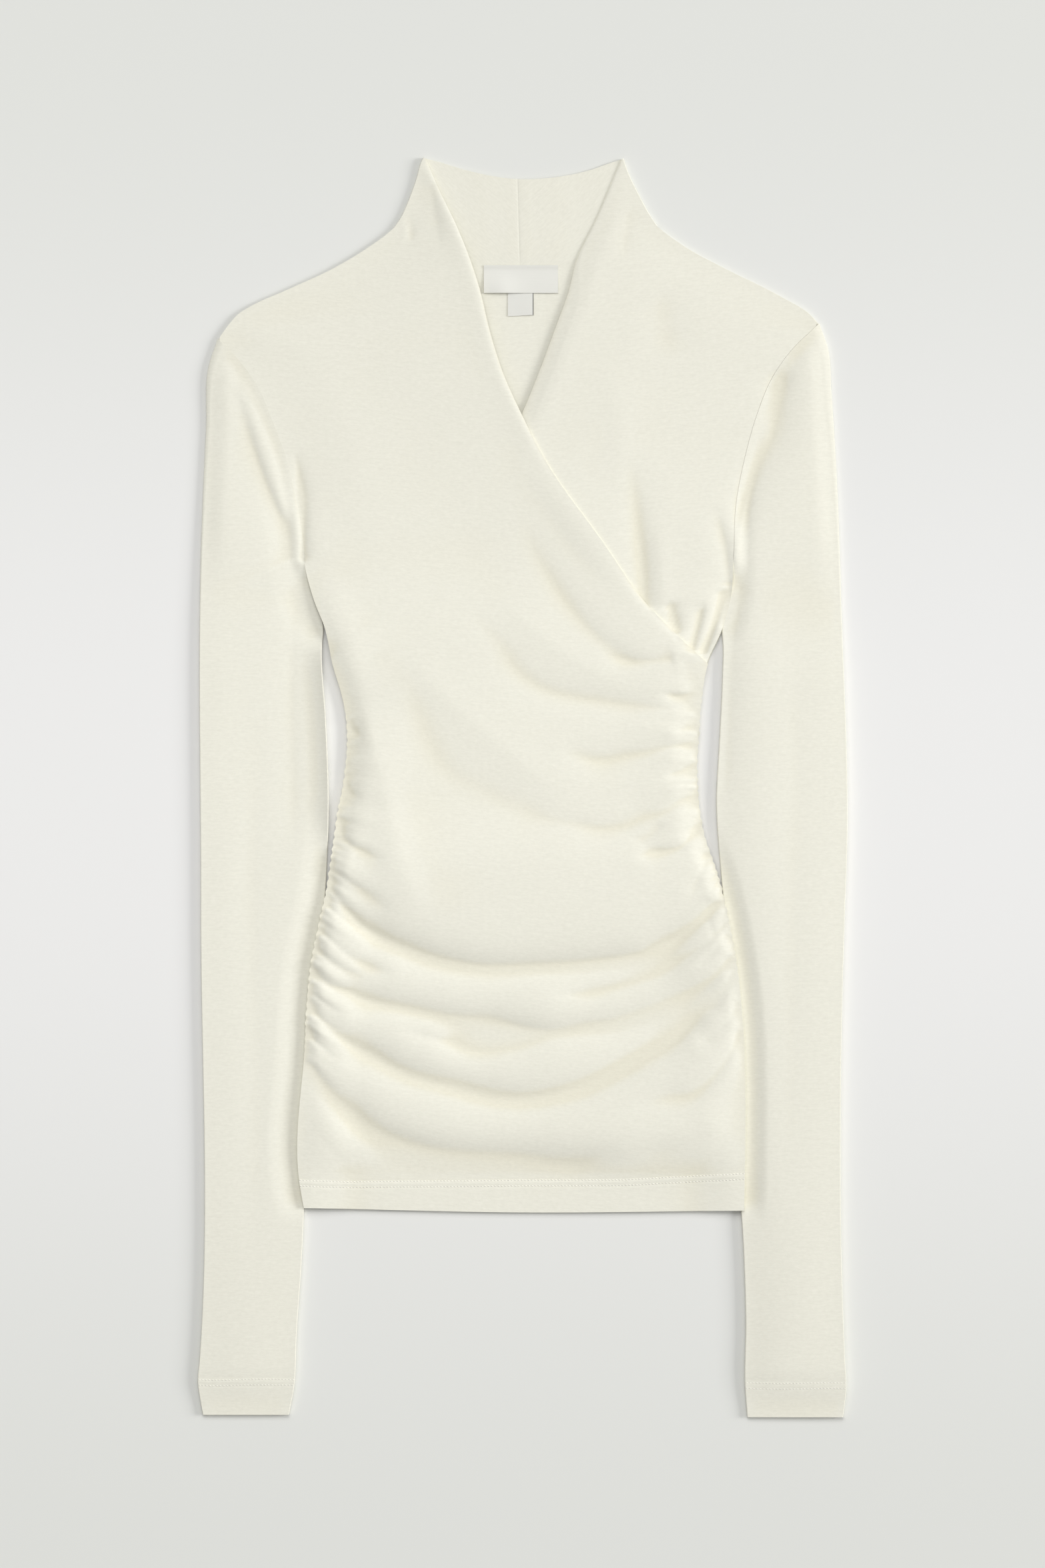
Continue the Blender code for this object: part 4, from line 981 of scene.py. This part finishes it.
def sleeve(name, out_line, in_line, arm, toward, cuff):
    arm_line = curve(arm[:8], 200)
    start = np.array([arm[0][0] + toward * FOLD_RADIUS, arm[0][1] + 0.5])
    end = np.array([x_at(in_line, arm[7][1]) - toward * FOLD_RADIUS, arm[7][1]])
    lows = np.concatenate([np.arange(LEVEL_Y - 2.5, cuff + 42, -3.2), np.arange(cuff + 40, cuff + 0.5, -1.3), [cuff]])

    def ends(y0, y1):
        return (np.array([x_at(out_line, y0) + toward * FOLD_RADIUS, y0]),
                np.array([x_at(in_line, y1) - toward * FOLD_RADIUS, y1]))

    def seam(n):
        line = arm_line[np.linspace(4, 199, n + 1).astype(int)] + [0.4 if toward > 0 else -0.65, 0.0]
        line[0], line[-1] = start, end
        return line

    def row(n, a, b, bend):
        """n + 1 points from a to b, bent like the armhole seam by the share `bend`."""
        line = seam(n)
        s = np.linspace(0, 1, n + 1)[:, None]
        s[1], s[-2] = 0.003, 0.997
        return a * (1 - s) + b * s + (line - first[0] * (1 - s) - first[1] * s) * bend

    first = ends(start[1], end[1])
    rings, ways = [], []
    for r in range(TURNING_RINGS + len(lows)):
        w = min(r / TURNING_RINGS, 1)
        if w < 1:
            a, b = ends(start[1] * (1 - w) + LEVEL_Y * w, end[1] * (1 - w) + LEVEL_Y * w)
        else:
            a, b = ends(lows[r - TURNING_RINGS], lows[r - TURNING_RINGS])
        top, low = (row(n, a, b, (1 - w) ** 1.5) for n in (TOP_STEPS, LOW_STEPS))
        z = sleeve_z(top[:, 0], top[:, 1], out_line, in_line)
        inner, inner_way = round_side(top[-1], z[-1], toward, ROUND_A_FOLD)
        outer, outer_way = round_side(top[0], z[0], -toward, ROUND_A_FOLD[::-1])
        lower = np.column_stack([low[::-1], np.full(len(low), WALL / 2)])
        rings.append(np.concatenate([np.column_stack([top, z]), inner, lower, outer]))
        ways.append(np.concatenate([np.tile([0.0, 0, 1], (len(top), 1)), inner_way,
                                    np.tile([0.0, 0, -1], (len(low), 1)), outer_way]))
    at = np.arange(len(rings) * len(rings[0])).reshape(len(rings), -1)
    after = np.roll(at, -1, axis=1)
    faces = np.stack([at[:-1], after[:-1], after[1:], at[1:]], axis=-1).reshape(-1, 4).tolist()
    return cloth(name, np.concatenate(rings), faces, JERSEY, np.concatenate(ways))


right_sleeve = sleeve("right_sleeve", SLEEVE_RIGHT_OUT, SLEEVE_RIGHT_IN, SIDE_RIGHT, 1, CUFF_END[RIGHT])
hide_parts("sleeve_right")
left_sleeve = sleeve("left_sleeve", SLEEVE_LEFT_OUT, SLEEVE_LEFT_IN, SIDE_LEFT, -1, CUFF_END[LEFT])
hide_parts("sleeve_left")

# %% [markdown]
# ## Neck label and size tab
#
# Two short pieces of satin ribbon, sewn in at the back neck. Both are left bare. The label is held along its upper
# edge, so its lower edge stands off the back, and the tab comes out from under it and curls at one side.


# %% Label and tab
def ribbon(name, x_range, y_range, z_of, material, tilt=0.0):
    xs, ys = np.linspace(*x_range, 41), np.linspace(*y_range, 21)
    x, y = (g.ravel() for g in np.meshgrid(xs, ys))
    points = np.column_stack([x, y + (x - np.mean(x_range)) * tilt, z_of(x, y)])
    return cloth(name, points, grid_faces(21, 41), material, wall=0.25)


def label_z(x, y):
    """The lower edge is lifted, most of all left of the middle, and the upper edge lies on the neck seam."""
    lifted = step(312, 297, y)
    bulge = 1.0 * bump(x + 12, 8) + 0.2 * step(4, 23, np.abs(x))
    return WALL + 0.26 + 0.3 * step(310.6, 312.6, y) + (0.5 + bulge) * lifted


def tab_z(x, y):
    return WALL + 0.25 + 0.5 * step(299, 283, y) * (0.4 + 0.6 * step(-6, 6.6, x))


label = ribbon("neck_ribbon", (-23.2, 21.4), (313.2, 296.4), label_z, LABEL_SATIN)
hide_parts("neck_label")
tab = ribbon("size_ribbon", (-8.8, 6.6), (300.0, 282.9), tab_z, TAB_SATIN, tilt=0.05)
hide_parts("size_tab")

# %% [markdown]
# ## Stitches
#
# The hem and the cuffs are turned up and held by two rows of needle stitches. One stitch is a short rounded bar. A
# Geometry Nodes tree lays it along a line: the line is resampled to the stitch pitch, a bar is set at each point and
# turned to the line's direction, and the result is realized so that it can be kept as a plain mesh.


# %% The stitch tree
def stitch_tree():
    tree = bpy.data.node_groups.new("stitch_row", "GeometryNodeTree")
    face = tree.interface
    face.new_socket("Geometry", in_out="INPUT", socket_type="NodeSocketGeometry")
    for size_name, value in (("Pitch", 0.0014), ("Length", 0.0010), ("Thickness", 0.00045)):
        socket = face.new_socket(size_name, in_out="INPUT", socket_type="NodeSocketFloat")
        socket.default_value = value
    face.new_socket("Thread", in_out="INPUT", socket_type="NodeSocketMaterial")
    face.new_socket("Geometry", in_out="OUTPUT", socket_type="NodeSocketGeometry")
    add, link = tree.nodes.new, tree.links.new
    given, made = add("NodeGroupInput"), add("NodeGroupOutput")
    paced = add("GeometryNodeResampleCurve")
    paced.mode = "LENGTH"
    link(given.outputs["Geometry"], paced.inputs["Curve"])
    link(given.outputs["Pitch"], paced.inputs["Length"])
    bar = add("GeometryNodeMeshUVSphere")
    bar.inputs["Segments"].default_value = 6
    bar.inputs["Rings"].default_value = 4
    bar.inputs["Radius"].default_value = 0.5
    size = add("ShaderNodeCombineXYZ")
    link(given.outputs["Thickness"], size.inputs["X"])
    link(given.outputs["Thickness"], size.inputs["Y"])
    link(given.outputs["Length"], size.inputs["Z"])
    shaped = add("GeometryNodeTransform")
    link(bar.outputs["Mesh"], shaped.inputs["Geometry"])
    link(size.outputs["Vector"], shaped.inputs["Scale"])
    along = add("GeometryNodeInputTangent")
    turn = add("FunctionNodeAlignRotationToVector")
    turn.axis = "Z"
    link(along.outputs["Tangent"], turn.inputs["Vector"])
    lay = add("GeometryNodeInstanceOnPoints")
    link(paced.outputs["Curve"], lay.inputs["Points"])
    link(shaped.outputs["Geometry"], lay.inputs["Instance"])
    link(turn.outputs["Rotation"], lay.inputs["Rotation"])
    real = add("GeometryNodeRealizeInstances")
    link(lay.outputs["Instances"], real.inputs["Geometry"])
    colour = add("GeometryNodeSetMaterial")
    link(real.outputs["Geometry"], colour.inputs["Geometry"])
    link(given.outputs["Thread"], colour.inputs["Material"])
    link(colour.outputs["Geometry"], made.inputs["Geometry"])
    return tree


STITCHES = stitch_tree()
print("stitch tree, nodes:", len(STITCHES.nodes))


# %% One mesh of stitches
def stitched(name, rows, pitch, length, thickness):
    """One mesh of stitches along several lines of points (x, y, z), in millimetres."""
    line = bpy.data.curves.new(name, "CURVE")
    line.dimensions = "3D"
    for row in rows:
        spline = line.splines.new("POLY")
        spline.points.add(len(row) - 1)
        spline.points.foreach_set("co", np.column_stack([np.array(row) * MM, np.ones(len(row))]).ravel())
    guide = bpy.data.objects.new(name + "_line", line)
    bpy.context.scene.collection.objects.link(guide)
    nodes = guide.modifiers.new("stitches", "NODES")
    nodes.node_group = STITCHES
    wanted = {"Pitch": pitch * MM, "Length": length * MM, "Thickness": thickness * MM, "Thread": THREAD}
    for socket in STITCHES.interface.items_tree:
        if socket.in_out == "INPUT" and socket.name in wanted:
            nodes[socket.identifier] = wanted[socket.name]
    bpy.context.view_layer.update()
    mesh = bpy.data.meshes.new_from_object(guide.evaluated_get(bpy.context.evaluated_depsgraph_get()))
    mesh.name = name
    bpy.data.objects.remove(guide)
    mesh.shade_smooth()
    piece = bpy.data.objects.new(name, mesh)
    bpy.context.scene.collection.objects.link(piece)
    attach(piece, "root")
    print(name, "faces", len(mesh.polygons))
    return piece


# %% Rows of stitches at the hem and the cuffs
def row_on(z_of, x, y):
    """A line half sunk into the upper face of the cloth."""
    return np.column_stack([x, y, z_of(x, y) + 0.52])


hem_x = np.linspace(-133.0, 132.6, 260)
hem_middle = np.interp(hem_x, *np.array(HEM_STITCH).T)
hem_rows = [row_on(over_z, hem_x, hem_middle + off) for off in (STITCH_OFF, -STITCH_OFF)]
hem_stitches = stitched("hem_stitches", hem_rows, pitch=2.0, length=1.35, thickness=0.6)


def cuff_rows(out_line, in_line, middle, toward):
    rows = []
    for off in (STITCH_OFF, -STITCH_OFF):
        x0, x1 = x_at(out_line, middle + off) + toward * 0.9, x_at(in_line, middle + off) - toward * 0.9
        x = np.linspace(x0, x1, 80)
        y = middle + off + 0.3 * np.sin(x / 9)
        rows.append(row_on(lambda a, b: sleeve_z(a, b, out_line, in_line), x, y))
    return rows


right_rows = cuff_rows(SLEEVE_RIGHT_OUT, SLEEVE_RIGHT_IN, CUFF_STITCH[RIGHT], 1)
right_cuff = stitched("right_cuff_stitches", right_rows, pitch=2.0, length=1.3, thickness=0.55)
left_rows = cuff_rows(SLEEVE_LEFT_OUT, SLEEVE_LEFT_IN, CUFF_STITCH[LEFT], -1)
left_cuff = stitched("left_cuff_stitches", left_rows, pitch=2.0, length=1.3, thickness=0.55)

# %% [markdown]
# ## Floor, light and camera
#
# The top lies on a plain pale table and is looked at from straight above. One broad soft light stands low to the
# right and rakes over the folds. A weaker window beyond the collar, a thin strip just overhead and an even pale sky
# fill the shadows, so the folds show as gentle shading.


# %% Table
def table():
    """A plain board 6 m wide, with painted shade: greyer past the collar and the cuffs, where the light falls off."""
    half, top = 3, -0.0002
    mesh = bpy.data.meshes.new("table")
    mesh.from_pydata([(-half, -half, top), (half, -half, top), (half, half, top), (-half, half, top)], [],
                     [(0, 1, 2, 3)])
    s = Shading("table_paper")
    place = s.node("ShaderNodeTexCoord", output=3)
    patches = s.node("ShaderNodeTexNoise", Vector=place, Scale=1.2, Detail=1)
    along = s.node("ShaderNodeSeparateXYZ", output=1, Vector=place)
    from_middle = s.node("ShaderNodeMath", settings={"operation": "ABSOLUTE"}, i0=along)
    pale = s.mix(patches, (0.822, 0.820, 0.806), (0.836, 0.830, 0.815))
    # Painted shade: greyer towards the collar and the cuffs, where the light falls off across the table.
    far = s.share(from_middle, 0.05, 0.45, "SMOOTHSTEP")
    s.into("Base Color", s.mix(far, pale, (0.775, 0.782, 0.745)))
    s.into("Roughness", 0.9)
    mesh.materials.append(s.material)
    board = bpy.data.objects.new("table", mesh)
    bpy.context.scene.collection.objects.link(board)


table()


# %% Lights
def lamp(name, place, size, power):
    """A rectangular soft box that looks at the middle of the table. The camera doesn't see it."""
    data = bpy.data.lights.new(name, "AREA")
    data.shape, data.size, data.size_y, data.energy = "RECTANGLE", size[0], size[1], power
    made = bpy.data.objects.new(name, data)
    made.location = place
    made.rotation_euler = (-Vector(place)).to_track_quat("-Z", "Y").to_euler()
    made.visible_camera = False
    bpy.context.scene.collection.objects.link(made)


lamp("key_from_the_right", (18.0, 1.8, 7.8), (6.6, 7.8), 2340)
lamp("window_above_the_collar", (-0.6, 5.8, 9.0), (8.0, 8.0), 575)
lamp("strip_overhead", (0.0, 0.0, 0.45), (2.4, 0.15), 0.69)
world = bpy.data.worlds.new("studio")
bpy.context.scene.world = world
world.use_nodes = True
world.node_tree.nodes["Background"].inputs["Color"].default_value = (1.0, 1.0, 1.0, 1)
world.node_tree.nodes["Background"].inputs["Strength"].default_value = 0.33
bpy.context.scene.view_settings.view_transform = "Standard"

# %% Camera
CAMERA_HEIGHT = 3.0
FRAME_HEIGHT = 2352 * 0.0004  # the frame's rows, each 0.4 mm of the table
camera = bpy.data.objects.new("camera", bpy.data.cameras.new("camera"))
camera.data.lens = camera.data.sensor_width * CAMERA_HEIGHT / FRAME_HEIGHT
camera.location = (0, 0.002, CAMERA_HEIGHT)
bpy.context.scene.collection.objects.link(camera)
bpy.context.scene.camera = camera
print("lens, mm:", round(camera.data.lens, 1))
